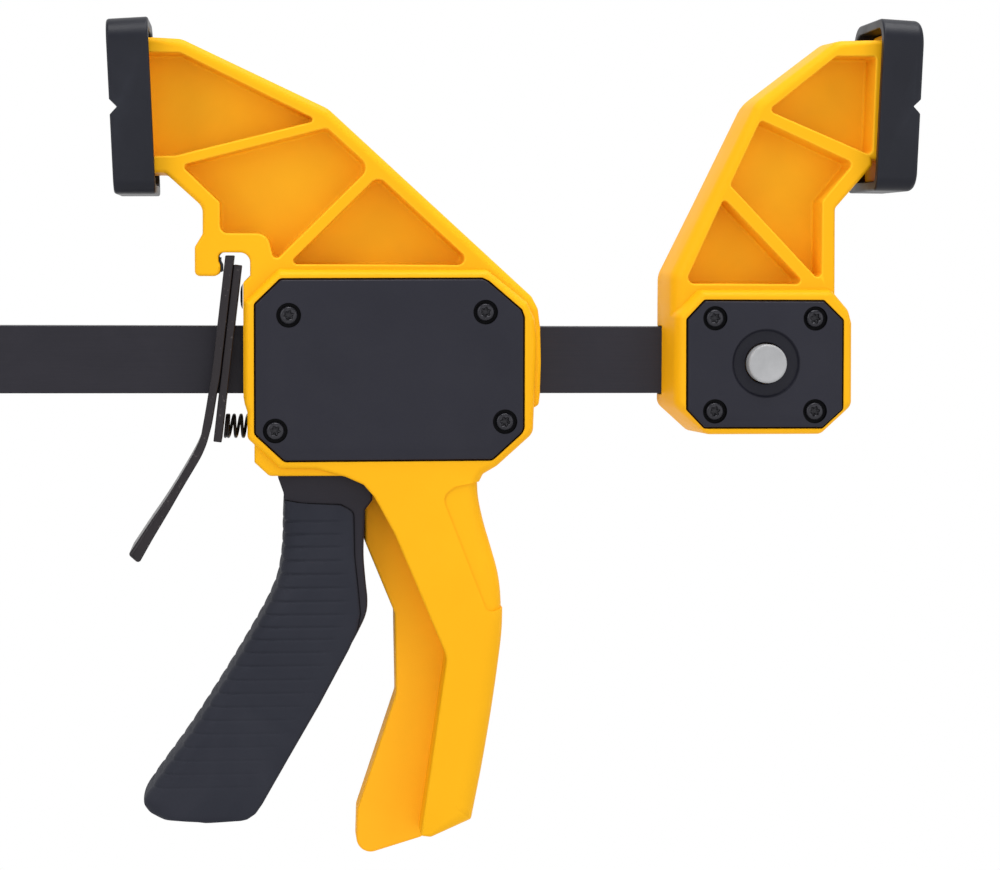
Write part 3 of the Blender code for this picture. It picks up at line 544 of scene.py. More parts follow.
palm_side = spline([(111.8, -37.3), (112.2, -42.1), (113.8, -49.3), (116.1, -57.0), (118.3, -65.0),
                    (119.3, -72.9), (119.3, -82.4), (118.1, -93.5), (115.9, -109.2), (113.2, -125.4),
                    (110.7, -138.5)], 5)
PALM_IN, PALM_DEEP = 6.5, 4.2
head = [
    (40.2, 18.0, 1.5, 1.9, 3.6), (50.5, 28.0, 2.0, 2.0, 3.9), (114.2, 28.1, 2.5, 2.0, 3.9), (126.6, 18.2, 2.5, 2.2, 3.9),
    (129.0, 13.0, 3.0, 2.2, 3.6), (129.5, 6.0, 0.0, 2.2, 3.2), (128.5, -22.0, 4.0, 2.0, 2.6), (117.4, -32.0, 3.0, 2.0, 2.4),
    (113.1, -34.6, 1.5, 2.8, 2.8),
    *[(x, z, 0.0, 3.0 + (PALM_IN - 3.0) * min(1.0, i / 14), 3.0 + (PALM_DEEP - 3.0) * min(1.0, i / 14))
      for i, (x, z) in enumerate(palm_side)],
    (109.9, -142.1, 1.2, 4.2, 3.6), (97.2, -147.1, 1.5, 1.2), (94.2, -146.6, 0.5, 0.8), (94.6, -143.7, 0.0, 0.8),
    (102.1, -91.0, 7.0, 0.8), (85.9, -52.7, 14.0, 0.8), (79.7, -41.4, 3.0, 0.8), (76.4, -37.6, 1.0, 0.8),
    (71.0, -35.2, 2.5, 0.9, 0.9), (62.0, -32.8, 5.0, 1.3, 1.4), (51.0, -32.6, 1.5, 1.4, 1.4), (41.1, -23.4, 2.0, 1.6, 2.2),
    (41.1, -15.5, 0.5, 1.9, 2.8), (40.2, -12.6, 0.0, 1.9, 3.4)]
skirt = [(43.2, -18.0, 0.0, 0.9), (43.2, -30.8, 0.8, 1.1), (47.7, -35.0, 2.0, 1.2), (70.0, -35.0, 2.0, 0.9), (74.0, -34.0, 0.0, 0.8),
         (84.0, -34.0, 0.0, 0.8), (84.0, -18.0, 0.0, 0.8)]
grip_web = [(77.2, -40.1), (77.4, -56.6, 1.0), (86.6, -78.9, 3.0), (87.1, -104.2, 4.0), (75.0, -140.9, 3.0),
            (74.6, -156.0, 4.5), (95.9, -149.6, 3.0), (104.2, -130.8), (106.1, -90.4), (90.0, -50.1), (86.0, -40.1)]

pocket_1 = [(10.4, 93.1, 0.9), (21.1, 93.1, 3.0), (62.6, 73.1, 0.9), (19.6, 62.1, 3.5), (11.6, 61.8, 0.9)]
pocket_2 = [(21.3, 59.25, 1.1), (65.3, 70.85, 1.8), (78.5, 59.0, 3.3), (49.31, 30.12, 1.3),
            (47.2, 38.8, 4.0), (32.9, 38.8, 2.4), (32.9, 48.1, 1.5)]
pocket_3 = [(53.6, 29.5, 1.1), (80.9, 56.5, 2.8), (110.4, 29.5, 2.0)]
cover = [(43.4, -22.0, 1.5), (43.4, 17.4, 1.1), (51.2, 25.0, 1.5), (112.5, 25.4, 1.5), (114.4, 24.5, 0.8),
         (124.5, 15.9, 1.2), (125.3, 13.7, 0.8), (125.4, -21.2, 3.5), (115.7, -30.0, 2.0), (52.3, -30.3, 2.0)]
trigger_mouth = [(49.9, -50.0), (49.9, -33.0), (53.2, -28.0), (53.2, -24.5), (76.7, -24.5), (76.7, -50.0)]
trigger_slots = [(74.0, -24.5), (92.6, -24.5), (92.6, -46.0), (93.4, -56.0), (95.6, -63.0), (97.5, -69.5),
                 (97.9, -78.8), (94.0, -84.0), (74.0, -84.0)]


def grip_panel():
    """Inset grip panel that wraps round the palm side, under half a millimetre deep."""
    border = [(111.0, -36.9, 1.5), (104.1, -38.3, 3.0), (100.4, -41.3, 3.5), (114.5, -77.4, 2.4), (126.0, -74.4),
              (128.0, -36.9)]
    block = prism("grip_panel", outline(border, 0.0, math.radians(10)), -BODY_HALF - 2, BODY_HALF + 2)
    core = rounded_body("panel_core", head, BODY_HALF - 0.42, 1.2, k=6, inner=0.40)
    return combine(block, core, "DIFFERENCE")


YELLOWS = [YELLOW, RECESS_PAINTED_LIGHT, WEB_PAINTED_LIGHT, SEAM_PAINTED_SHADOW]
body = paint(rounded_body("main_body_moulding", head, BODY_HALF, 1.2, k=6), YELLOWS)
pad_arm = join(paint(rounded_body("arm", arm, ARM_HALF, 1.2, k=6), YELLOWS), paint(end_flange(-1, *LEFT_PAD[:2]), YELLOWS))
join(body, pad_arm)
join(body, paint(rounded_body("skirt", skirt, SKIRT_HALF, 0.9, k=4), YELLOWS))
# The grip web takes index 2, the copy of the yellow with painted light.
join(body, paint(rounded_body("web", grip_web, GRIP_WEB_HALF, 0.9, k=4), YELLOWS, 2))
# Pocket walls and floors take index 1, the copy of the yellow with painted light.
for i, (pocket, fillet) in enumerate(((pocket_1, 1.0), (pocket_2, 1.0), (pocket_3, 1.0))):
    for side in (-1, 1):
        cut(body, paint(pocket_cutter(f"pocket_{i}_{side}", pocket, side, ARM_HALF, WEB_HALF, 0.55, 0.015, fillet), YELLOWS, 1))
for side in (-1, 1):
    seat = [(c[0], c[1], c[2]) for c in cover]
    cut(body, paint(tube(f"seat_{side}", [[(x, side * y, z) for x, z in outline(seat, d, math.radians(10))]
                                          for y, d in ((BODY_HALF + 2, -GAP - 0.22), (BODY_HALF, -GAP - 0.22),
                                                       (BODY_HALF - 0.08, -GAP - 0.06), (BODY_HALF - 0.22, -GAP))]), YELLOWS))
    # The seat's wall takes index 3, the painted seam shadow.
    cut(body, paint(tube(f"seat_wall_{side}", [[(x, side * y, z) for x, z in outline(seat, -GAP, math.radians(10))]
                                               for y in (BODY_HALF + 2, SEAT_HALF)]), YELLOWS, 3))
cut(body, paint(grip_panel(), YELLOWS))
# The trigger slots take index 2, the copy of the yellow with painted light.
for side in (-1, 1):
    cut(body, paint(prism(f"slot_{side}", trigger_slots, side * CAVITY_HALF, side * GRIP_WEB_HALF), YELLOWS, 2))
for cutter in (
        prism("space", outline([(58.6, -28.0, 1.5), (108.3, -28.0, 1.5), (108.3, 22.3, 1.5), (58.6, 22.3, 1.5)]), -CAVITY_HALF, CAVITY_HALF),
        prism("mouth", trigger_mouth, -CAVITY_HALF, CAVITY_HALF),
        prism("window", outline([(73.0, -15.0, 2.0), (105.0, -15.0, 2.0), (105.0, 19.0, 2.0), (73.0, 19.0, 2.0)]), -SEAT_HALF - 1, SEAT_HALF + 1),
        prism_x("bar_slot", [(-SLOT_Y, -SLOT_Z), (SLOT_Y, -SLOT_Z), (SLOT_Y, SLOT_Z), (-SLOT_Y, SLOT_Z)], 30, 140),
        turned("pin_hole", [(PIVOT_R + GAP, -17.9), (PIVOT_R + GAP, 17.9)], *PIVOT, 32),
        turned("spring_pocket", [(4.2, 36.0), (4.2, 45.2)], 0.0, -20.7, 32, "x")):
    cut(body, paint(cutter, YELLOWS))
for x, z in HEAD_SCREWS:
    for side in (-1, 1):
        cut(body, paint(turned("screw_hole", [(SCREW_R + GAP, side * 9.0), (SCREW_R + GAP, side * 18.4)], x, z, 20), YELLOWS))
tidy(body)
done(body, "head", ["main_body"])


# --------------------------------------------------------------- cover plates
BLACKS = [COVER, WELL_PAINTED_SHADE, DISH_PAINTED_SHADE]


def crowned_plate(name, corners, side, screws, button=False):
    """Cover plate with a rounded edge and a softly raised field; the screws sit in wells."""
    top = COVER_HALF
    sections = [(SEAT_HALF, 0.18), (top - 0.75, 0.18), (top - 0.50, 0.26), (top - 0.33, 0.44), (top - 0.24, 0.72),
                (top - 0.20, 1.9), (top - 0.10, 2.9), (top - 0.03, 3.8), (top, 4.7)]
    plate = tube(name, [[(x, side * y, z) for x, z in outline(corners, d, math.radians(10))] for y, d in sections])
    paint(plate, BLACKS)
    cuts, wells = [], []
    if button:
        # The dish round the button takes index 2, the painted dish shade.
        cut(plate, paint(turned("dish", [(11.2, side * (top + 1)), (10.75, side * top), (10.35, side * (top - 0.25)),
                                         (10.1, side * (top - 0.8)), (9.7, side * (top - 1.0))], BUTTON_X, BUTTON_Z, 72), BLACKS, 2))
        cuts.append(turned("hole", [(BUTTON_R + 0.7, side * (top - 0.5)), (BUTTON_R + 0.55, side * (top - 1.15)),
                                    (BUTTON_R + 0.35, side * (top - 1.4)), (BUTTON_R + 0.35, side * (SEAT_HALF - 2))],
                           BUTTON_X, BUTTON_Z, 64))
    for x, z in screws:
        cuts.append(turned("well", [(SCREW_WELL_R + 0.46, side * (top + 1)), (SCREW_WELL_R + 0.46, side * top),
                                    (SCREW_WELL_R + 0.18, side * (top - 0.12))], x, z, 48))
        wells.append(turned("well", [(SCREW_WELL_R + 0.18, side * (top + 1)), (SCREW_WELL_R + 0.18, side * top),
                                     (SCREW_WELL_R + 0.14, side * (top - 0.4)), (SCREW_WELL_R + 0.10, side * (top - 1.6))], x, z, 48))
        cuts.append(turned("hole", [(SCREW_R + GAP, side * 10), (SCREW_R + GAP, side * 25)], x, z, 20))
    for c in cuts:
        cut(plate, paint(c, BLACKS))
    # The screw wells' walls take index 1, the painted well shade.
    for c in wells:
        cut(plate, paint(c, BLACKS, 1))
    return tidy(plate, 2e-6)


def shrunk(corners, d=0.0):
    return [(c[0], c[1], c[2]) for c in corners]


done(crowned_plate("head_front_cover", shrunk(cover), -1, HEAD_SCREWS), "head", ["front_cover_plate"], None, 40)
done(crowned_plate("head_rear_cover", shrunk(cover), 1, HEAD_SCREWS), "head", ["rear_cover_plate"], None, 40)


def star(r, depth_r, n=48):
    return [((r + depth_r * math.cos(6 * 2 * math.pi * i / n)) * math.cos(2 * math.pi * i / n),
             (r + depth_r * math.cos(6 * 2 * math.pi * i / n)) * math.sin(2 * math.pi * i / n)) for i in range(n)]


def screw(name, x, z, side):
    """Pan-head screw with a six-lobed recess, seated in its well."""
    under = COVER_HALF - 1.5
    R = SCREW_HEAD_R
    profile = [(0.9, COVER_HALF - 0.04), (1.70, COVER_HALF - 0.06), (2.10, COVER_HALF - 0.12), (2.40, COVER_HALF - 0.26),
               (2.62, COVER_HALF - 0.48), (R - 0.46, COVER_HALF - 0.74), (R - 0.44, COVER_HALF - 0.88), (R - 0.44, under),
               (SCREW_R, under), (SCREW_R, 10.2), (SCREW_R - 0.45, 9.6), (0.4, 9.4)]
    obj = turned(name, [(r, side * y) for r, y in profile], x, z, 40)
    pts = star(1.42, 0.24)
    a = math.radians(17 + 37 * (x * 0.31 + z))
    pts = [(px * math.cos(a) - pz * math.sin(a), px * math.sin(a) + pz * math.cos(a)) for px, pz in pts]
    rings = []
    for y, s in ((COVER_HALF + 1.0, 1.16), (COVER_HALF - 0.10, 1.14), (COVER_HALF - 0.22, 1.0), (COVER_HALF - 1.5, 0.96), (COVER_HALF - 1.9, 0.45)):
        rings.append([(x + px * s, side * y, z + pz * s) for px, pz in pts])
    cut(obj, tube("socket", rings))
    return obj


for i, (x, z) in enumerate(HEAD_SCREWS, 1):
    done(screw(f"head_screw_front_{i}", x, z, -1), "head", [f"front_cover_screw_{i}"], SCREW, 38, False)
    done(screw(f"head_screw_rear_{i}", x, z, 1), "head", [f"rear_cover_screw_{i}"], SCREW, 38, False)
for i, (x, z) in enumerate(JAW_SCREWS, 1):
    done(screw(f"jaw_screw_front_{i}", x, z, -1), "bar_and_jaw", [f"jaw_front_screw_{i}"], SCREW, 38, False)
    done(screw(f"jaw_screw_rear_{i}", x, z, 1), "bar_and_jaw", [f"jaw_rear_screw_{i}"], SCREW, 38, False)

# -------------------------------------------------------------------- trigger
finger_line = [(52.0, -39.4), (51.9, -49.8), (51.6, -58.4), (50.3, -66.9), (47.9, -73.3), (44.7, -79.6),
               (37.7, -91.7), (30.1, -104.0), (22.0, -116.4), (13.2, -128.6), (9.6, -133.9)]
back_line = [(46.6, -134.0), (50.1, -128.0), (56.3, -117.1), (62.7, -105.9), (68.9, -94.8), (71.9, -89.1),
             (74.9, -83.5), (77.3, -78.1), (77.8, -73.5), (77.2, -67.4), (76.6, -59.6), (76.8, -51.9), (77.1, -45.7)]
finger_side = spline(finger_line, 4)
back_side = spline(back_line, 5)
boss = [(PIVOT[0] + 5.2 * math.cos(math.radians(d)), PIVOT[1] + 5.2 * math.sin(math.radians(d))) for d in range(0, 181, 12)]
core_edge = shifted(finger_side, 2.3)
channel_edge = shifted(finger_side, 5.4)
jacket_inner_edge = shifted(finger_side, 2.0)[4:]


def rolled(i, n):
    """How far the hidden front edge under the soft cover is rolled over, along the finger side."""
    return 1.2 + 3.6 * min(1.0, i / 5, (n - 1 - i) / 6)


core_corners = [
    (50.4, -35.8, 0, 0.8), (52.0, -40.3, 0, 0.8), (52.35, -43.7, 0, 0.8), (54.3, -43.7, 0, 0.6),
    *[(x, z, 0, rolled(i, len(core_edge) - 4), rolled(i, len(core_edge) - 4) * 0.92) for i, (x, z) in enumerate(core_edge[4:])],
    (11.3, -135.2, 0, 1.2), (12.9, -137.9, 0, 0.8),
    (15.9, -139.2, 0, 0.3), (27.8, -140.2, 0, 0.3), (40.9, -139.3, 0, 0.4), (44.3, -137.0, 0, 0.8),
    *[(x, z, 0, 1.1) for x, z in back_side], (79.3, -42.8, 0, 0.9), (79.3, -36.0, 1.0, 0.8),
    (71.2, -28.8, 2.0, 0.8), (69.9, -20.5, 4.0, 0.8), (74.2, 0.0, 3.0, 0.8), (69.2, 10.0, 2.0, 0.6),
    *[(x, z, 0, 0.5) for x, z in boss],
    (59.3, -20.5, 0, 0.6), (60.2, -24.9, 0, 0.6), (53.9, -28.6, 0, 0.6), (50.5, -33.6, 0, 0.6)]
core = rounded_body("trigger_lever", core_corners, 14.6, 0.8, k=4)
channel = channel_edge[:-1] + [(17.5, -135.4), (33.0, -136.6), (35.0, -150.0), (90.0, -150.0), (90.0, 30.0),
                               (50.0, 30.0), (50.0, -31.0), (57.4, -33.0)]
cut(core, prism("channel", channel, -11.0, 11.0))
cut(core, turned("pin_hole", [(PIVOT_R + GAP, -25), (PIVOT_R + GAP, 25)], *PIVOT, 32))

jacket_corners = [
    (52.2, -42.6, 0.5), (58.0, -43.7, 9.0), (69.6, -44.1, 2.6), (73.4, -46.3, 2.2), (73.7, -60.0, 8.0), (74.9, -71.5, 5.0),
    (75.5, -78.0, 2.2), (74.5, -83.4, 4.0), (72.1, -88.9, 4.0), (63.0, -106.0), (53.8, -122.0), (47.6, -132.9, 4.0), (45.4, -136.8, 3.0),
    (43.3, -139.8, 2.5), (40.4, -141.8, 2.0), (27.8, -142.6, 9.0), (14.3, -141.6, 3.0), (10.4, -139.4, 2.0), (8.2, -136.4, 2.5),
    *finger_side[::-1][:-4]]
jacket_line = outline(jacket_corners, 0.0, math.radians(8))
rebate = outline(jacket_corners, -GAP, math.radians(8))
cut(core, prism("rebate_front", rebate, -17.0, -13.8), prism("rebate_back", rebate, 13.8, 17.0))
tidy(core)
done(core, "trigger", ["trigger_core"], TRIGGER, 38)

RIB_TOP = [-49.2, -53.2, -57.1, -61.3, -65.5, -69.7, -73.9, -78.0, -81.9, -85.7, -89.7, -93.8, -98.1]
RIBS = RIB_TOP + [RIB_TOP[-1] - 4.15 * i for i in range(1, 9)]


def crossings(line, z):
    xs = []
    for i in range(len(line)):
        (x0, z0), (x1, z1) = line[i - 1], line[i]
        if (z0 - z) * (z1 - z) < 0:
            xs.append(x0 + (x1 - x0) * (z - z0) / (z1 - z0))
    return min(xs), max(xs)


def groove(z):
    """0 between the grooves, 1 in a groove, and the share that rounds the ribs over."""
    near = min(abs(z - g) for g in RIBS)
    line = math.exp(-(near / 0.42) ** 2)
    if z > RIBS[0] + 0.6 or z < RIBS[-1] - 3.0:
        return line, 0.0
    t = min(1.0, near / 2.08)
    return line, (1 - t) ** 2.4


def ribbed_jacket():
    bottom = min(z for x, z in jacket_line)
    top = max(z for x, z in jacket_line)
    rows = []
    z = bottom
    for d in (0.02, 0.08, 0.2, 0.4, 0.7, 1.1, 1.6, 2.2):
        rows.append(bottom + d)
    z = rows[-1]
    while z < top - 1.9:
        near = min(abs(z - g) for g in RIBS)
        z += 0.16 if near < 1.0 else 0.42
        rows.append(z)
    for d in (1.5, 1.1, 0.7, 0.35, 0.12, 0.02):
        rows.append(top - d)
    rings = []
    for z in rows:
        x_l, x_r = crossings(jacket_line, z)
        low = max(0.0, min(1.0, (z - bottom) / 2.2))
        Y = 15.4 - 1.7 * (1 - math.sqrt(max(0.0, 1 - (1 - low) ** 2)))
        wide = x_r - x_l
        fade = max(0.0, min(1.0, (z + 139.0) / 6.0))
        line, round_over = groove(z)
        side_fade = (0.30 + 0.70 * max(0.0, min(1.0, (z + 118.0) / 50.0))) * fade
        start = max(0.0, min(1.0, (top - z) / 11.0))
        corner_in = min(0.9 + 5.3 * start, wide * 0.45)
        corner_deep = 0.8 + 4.4 * start
        half = []
        # from the middle of the finger face round to the right border of the flank
        for j in range(5):
            y = (Y - corner_deep) * j / 5
            half.append((x_l + 0.9 * (y / (Y - corner_deep + 1e-6)) ** 2 * 0.35, y, (-1.0, 0.0), 1.0))
        for t in quarter(9):
            x = x_l + 0.315 + (corner_in - 0.315) * (1 - math.cos(t))
            y = Y - corner_deep + corner_deep * math.sin(t)
            n = Vector((-math.cos(t) / max(corner_in, 0.1), math.sin(t) / corner_deep)).normalized()
            half.append((x, y, (n.x, n.y), 1.0))
        x_start = x_l + corner_in
        lower = max(0.0, min(1.0, (-70.0 - z) / 14.0))
        edge = min(0.8 + 0.8 * lower, wide * 0.08)
        margin = 3.0 + 2.4 * lower
        span = max(0.05, x_r - edge - x_start)
        for j in range(1, 11):
            x = x_start + span * j / 10
            w = max(0.0, min(1.0, (x_r - margin - x) / 2.0))
            half.append((x, Y, (0.0, 1.0), w * 0.62))
        for a in (0.35, 0.7, 1.0):
            t = a * math.pi / 2
            half.append((x_r - edge + edge * math.sin(t), Y - (0.55 + 0.45 * lower) * (1 - math.cos(t)), (0.0, 1.0), 0.0))
        half.append((x_r, min(13.7, Y - 1.3), (0.0, 1.0), 0.0))
        pts = []
        for x, y, (nx, ny), w in half:
            flank = ny ** 2
            depth = w * ((1 - flank) * (0.22 * line + 0.24 * round_over) * fade + flank * (0.40 * line + 0.10 * round_over) * side_fade)
            pts.append((x - nx * depth, y - ny * depth))
        ring = [(x, y, z) for x, y in reversed(pts)] + [(x, -y, z) for x, y in pts[1:]]
        rings.append(ring)
    return tube("trigger_overmould", rings)


jacket = ribbed_jacket()
inside = [(54.1, -30.0)] + jacket_inner_edge + [(10.9, -135.5), (12.7, -138.2), (15.8, -139.5), (27.8, -140.5),
                                                (40.9, -139.7), (37.8, -144.0), (60.0, -144.0), (95.0, -100.0), (95.0, -30.0)]
edge_n = len(jacket_inner_edge)
inside = [(x, z, 0.0, rolled(i - 1, edge_n) if 0 < i <= edge_n else 0.4, rolled(i - 1, edge_n) * 0.92 if 0 < i <= edge_n else 0.4)
          for i, (x, z) in enumerate(inside)]
cut(jacket, rounded_body("inside", inside, 14.1, k=5))
done(jacket, "trigger", ["trigger_grip"], GRIP, 50, False)

# ----------------------------------------------------------- bar, lever, brake
bar = rounded_body("steel_bar", [(BAR_LEFT, -BAR_HEIGHT / 2, 0.4, 0.35), (BAR_RIGHT, -BAR_HEIGHT / 2, 0.4, 0.35),
                                 (BAR_RIGHT, BAR_HEIGHT / 2, 0.4, 0.35), (BAR_LEFT, BAR_HEIGHT / 2, 0.4, 0.35)],
                   BAR_THICK / 2, k=3)
for end, out in ((BAR_RIGHT, 1), (BAR_LEFT, -1)):
    hole = end - out * 24.6
    a = math.asin(2.6 / 4.7)
    arc = [(hole + out * 4.7 * math.cos(a + (2 * math.pi - 2 * a) * i / 44),
            BUTTON_Z + 4.7 * math.sin(a + (2 * math.pi - 2 * a) * i / 44)) for i in range(45)]
    cut(bar, prism("keyhole", arc + [(end + out * 2, BUTTON_Z - 2.6), (end + out * 2, BUTTON_Z + 2.6)], -8, 8))
done(tidy(bar), "bar_and_jaw", ["clamp_bar"], BAR, 38)

tilt = math.tan(BRAKE_TILT)
flat_w = LEVER_T / math.cos(BRAKE_TILT)


def lever_x(z):
    return LEVER_TOP[0] - (LEVER_TOP[1] - z) * tilt


lever_left = [(29.1, -10.7), (28.3, -15.5), (27.4, -20.4), (26.9, -22.9), (26.0, -25.3), (24.8, -27.8), (23.5, -30.2),
              (20.6, -35.1), (17.6, -40.0), (14.4, -44.9), (11.0, -49.8), (4.7, -59.3)]
lever_right = [(8.0, -62.0), (12.1, -54.7), (15.0, -49.8), (17.9, -44.9), (20.7, -40.0), (23.6, -35.1),
               (26.5, -30.2), (27.7, -27.8), (28.7, -25.3), (29.4, -22.9), (30.0, -20.4), (30.85, -15.5), (31.65, -10.7)]
bend_left = spline([LEVER_TOP, (lever_x(0.0), 0.0)] + lever_left, 4)[4:]
bend_right = spline(lever_right + [(lever_x(0.0) + flat_w + 0.2, 0.0), (LEVER_TOP[0] + flat_w + 0.2, LEVER_TOP[1])], 4)[:-5]


def bevel_at(z):
    """The upper front edge of the handle end is bevelled more and more towards its tip."""
    return 0.35 + 1.15 * max(0.0, min(1.0, (-30.0 - z) / 28.0))


lever = rounded_body("release_lever_plate",
                     [(*LEVER_TOP, 0.35, 0.35)] + [(x, z, 0.0, bevel_at(z), bevel_at(z) * 0.9) for x, z in bend_left[:-1]]
                     + [(4.7, -59.3, 1.0, 1.3, 1.2), (8.0, -62.0, 1.0, 0.5)] + [(x, z, 0.0, 0.35) for x, z in bend_right[1:]]
                     + [(LEVER_TOP[0] + flat_w + 0.2, LEVER_TOP[1], 0.35, 0.35)], 14.0, 0.4, k=4, step=math.radians(15))
cut(lever, prism_x("window", [(-4.9, -12.2), (4.9, -12.2), (4.9, 12.4), (-4.9, 12.4)], 10, 60))
done(tidy(lever), "lever", ["release_lever"], PLATE, 38)

left = lever_x(29.3) + flat_w + GAP
brake = rounded_body("brake_clutch_plate", [(left, 29.3, 0.3), (left + flat_w, 29.0, 0.3),
                                            (left + flat_w - (29.0 + 25.0) * tilt, -25.0, 0.3),
                                            (left - (29.3 + 24.7) * tilt, -24.7, 0.3)], 13.0, 0.35, k=3)
cut(brake, prism_x("hole", [(-4.4, -11.3), (4.4, -11.3), (4.4, 11.3), (-4.4, 11.3)], 10, 60))
done(tidy(brake), "brake", ["brake_plate"], PLATE, 38)


def coil(name, centre, axis, r, wire, length, turns, per_turn=28, sides=12, closed=0.75, lean=0.0):
    steps = int(turns * per_turn)
    rings = []
    flat = closed / turns
    for i in range(steps + 1):
        t = i / steps
        a = 2 * math.pi * turns * t
        if t < flat:
            u = 0.35 * t * t / flat
        elif t > 1 - flat:
            u = 1 - 0.35 * (1 - t) ** 2 / flat
        else:
            lo, hi = 0.35 * flat, 1 - 0.35 * flat
            u = lo + (hi - lo) * (t - flat) / (1 - 2 * flat)
        s = wire + u * (length - 2 * wire)
        ring = []
        for k in range(sides):
            b = 2 * math.pi * k / sides
            q = r + wire * math.cos(b)
            p = Vector((s + wire * math.sin(b) + lean * (1 - u) * q * math.sin(a), q * math.cos(a), q * math.sin(a)))
            if axis == "y":
                p = Vector((p.y, p.x, p.z))
            p += Vector(centre)
            ring.append(tuple(p))
        rings.append(ring)
    return tube(name, rings)


spring_left = left + flat_w - (29.0 + 20.7) * tilt + 0.2
spring_right = 45.2 - GAP
spring = done(coil("brake_return_spring", (spring_left, 0, -20.7), "x", 3.35, 0.5, spring_right - spring_left, 7.0, lean=tilt,
                   closed=1.6), "head", ["brake_spring"], SPRING, 60, False)
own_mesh(spring)

stack_end = 74.5 + 3 * (2.4 + GAP)
drive_end = 108.3 - GAP
drive = done(coil("drive_return_spring", (stack_end, 0, 0), "x", 12.45, 0.75, drive_end - stack_end, 5.5, 36), "head",
             ["drive_spring"], BRIGHT, 60, False)
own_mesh(drive)

# ------------------------------------------------------------------ fixed jaw
JAW_TOP, JAW_LOW = RIGHT_PAD[3:]
JAW_DRAFT = 0.18


def jaw_arm(y):
    d = (ARM_HALF - y) * JAW_DRAFT
    return [
        (*pad_point(1, PAD_SKIN + GAP + 1.5, JAW_TOP), 0.0, 1.4), (*pad_point(1, PAD_T + 0.4, JAW_TOP), 0.0, 1.4),
        (222.9 - 0.7 * d, 99.1, 6.0, 2.4, 2.8), (197.8 - 0.75 * d, 79.9, 9.0, 2.8, 3.4), (172.1 - d, 26.5, 7.0, 3.6, 4.6), (172.2 - d, -9.7, 0.0, 3.6, 4.6),
        (223.0, -9.7, 0.0, 0.6), (222.6, 47.5, 2.0, 1.3), (234.2, 60.9, 1.5, 1.3),
        (*pad_point(1, PAD_T + 0.4, JAW_LOW), 0.0, 1.2), (*pad_point(1, PAD_SKIN + GAP + 1.5, JAW_LOW), 0.0, 1.2)]


def jaw_box(y):
    d = (BODY_HALF - y) * JAW_DRAFT
    return [(172.9 - d, 14.5, 3.0, 2.3, 4.4), (180.4 - d, 22.2, 2.5, 2.1, 3.9), (221.2, 22.4, 2.5, 2.1, 3.9), (226.6, 15.9, 4.0, 2.2, 2.8),
            (227.6, 12.0, 2.0, 2.2, 2.6), (227.9, -13.6, 3.5, 2.2, 2.6), (218.2, -22.4, 3.0, 1.6, 2.2), (182.7 - d, -22.5, 3.5, 1.6, 2.6),
            (172.9 - d, -13.7, 3.5, 2.3, 4.2)]


jaw_pocket_1 = [(222.4, 94.3, 1.5), (234.7, 94.3, 0.9), (233.9, 63.8, 1.3), (201.1, 77.4, 1.2)]
jaw_pocket_2 = [(198.85, 74.5, 1.2), (228.2, 61.5, 1.5), (218.3, 49.6, 1.5), (218.45, 24.4, 1.25), (189.5, 54.4, 1.3)]
jaw_pocket_3 = [(187.6, 50.3, 1.0), (175.6, 24.0, 2.0), (213.4, 24.0, 1.2)]
jaw_cover = [(176.0, -14.6, 0.8), (175.8, 13.1, 0.8), (181.2, 18.9, 0.8), (218.4, 18.9, 0.8),
             (224.5, 13.0, 0.8), (224.7, -14.6, 0.8), (218.4, -20.3, 0.8), (181.5, -20.3, 0.8)]

jaw = paint(rounded_body("jaw_moulding", jaw_box, BODY_HALF, 1.6, k=6, extra_y=(0.0,)), YELLOWS)
jaw_pad_arm = join(paint(rounded_body("arm", jaw_arm, ARM_HALF, 1.4, k=6, extra_y=(0.0,)), YELLOWS),
                   paint(end_flange(1, *RIGHT_PAD[:2]), YELLOWS))
join(jaw, jaw_pad_arm)
# Pocket walls and floors take index 1, the copy of the yellow with painted light.
for i, (pocket, fillet) in enumerate(((jaw_pocket_1, 1.0), (jaw_pocket_2, 1.0), (jaw_pocket_3, 1.0))):
    for side in (-1, 1):
        cut(jaw, paint(pocket_cutter(f"jaw_pocket_{i}_{side}", pocket, side, ARM_HALF, WEB_HALF, 0.55, 0.015, fillet), YELLOWS, 1))
for side in (-1, 1):
    cut(jaw, paint(tube(f"seat_{side}", [[(x, side * y, z) for x, z in outline(jaw_cover, d, math.radians(10))]
                                         for y, d in ((BODY_HALF + 2, -GAP - 0.22), (BODY_HALF, -GAP - 0.22),
                                                      (BODY_HALF - 0.08, -GAP - 0.06), (BODY_HALF - 0.22, -GAP))]), YELLOWS))
    # The seat's wall takes index 3, the painted seam shadow.
    cut(jaw, paint(tube(f"seat_wall_{side}", [[(x, side * y, z) for x, z in outline(jaw_cover, -GAP, math.radians(10))]
                                              for y in (BODY_HALF + 2, SEAT_HALF)]), YELLOWS, 3))
for cutter in (
        prism_x("bar_slot", [(-SLOT_Y, -SLOT_Z), (SLOT_Y, -SLOT_Z), (SLOT_Y, SLOT_Z), (-SLOT_Y, SLOT_Z)], 160, 240),
        turned("cap_bore", [(BUTTON_R + 0.4, -18.2), (BUTTON_R + 0.4, -8.6)], BUTTON_X, BUTTON_Z, 48),
        turned("neck_bore", [(2.6, -9.5), (2.6, -3)], BUTTON_X, BUTTON_Z, 24),
        turned("plunger_bore", [(4.7, 3), (4.7, 18.2)], BUTTON_X, BUTTON_Z, 40)):
    cut(jaw, paint(cutter, YELLOWS))
for x, z in JAW_SCREWS:
    for side in (-1, 1):
        cut(jaw, paint(turned("screw_hole", [(SCREW_R + GAP, side * 9.0), (SCREW_R + GAP, side * 18.4)], x, z, 20), YELLOWS))
tidy(jaw)
done(jaw, "bar_and_jaw", ["jaw_body"])
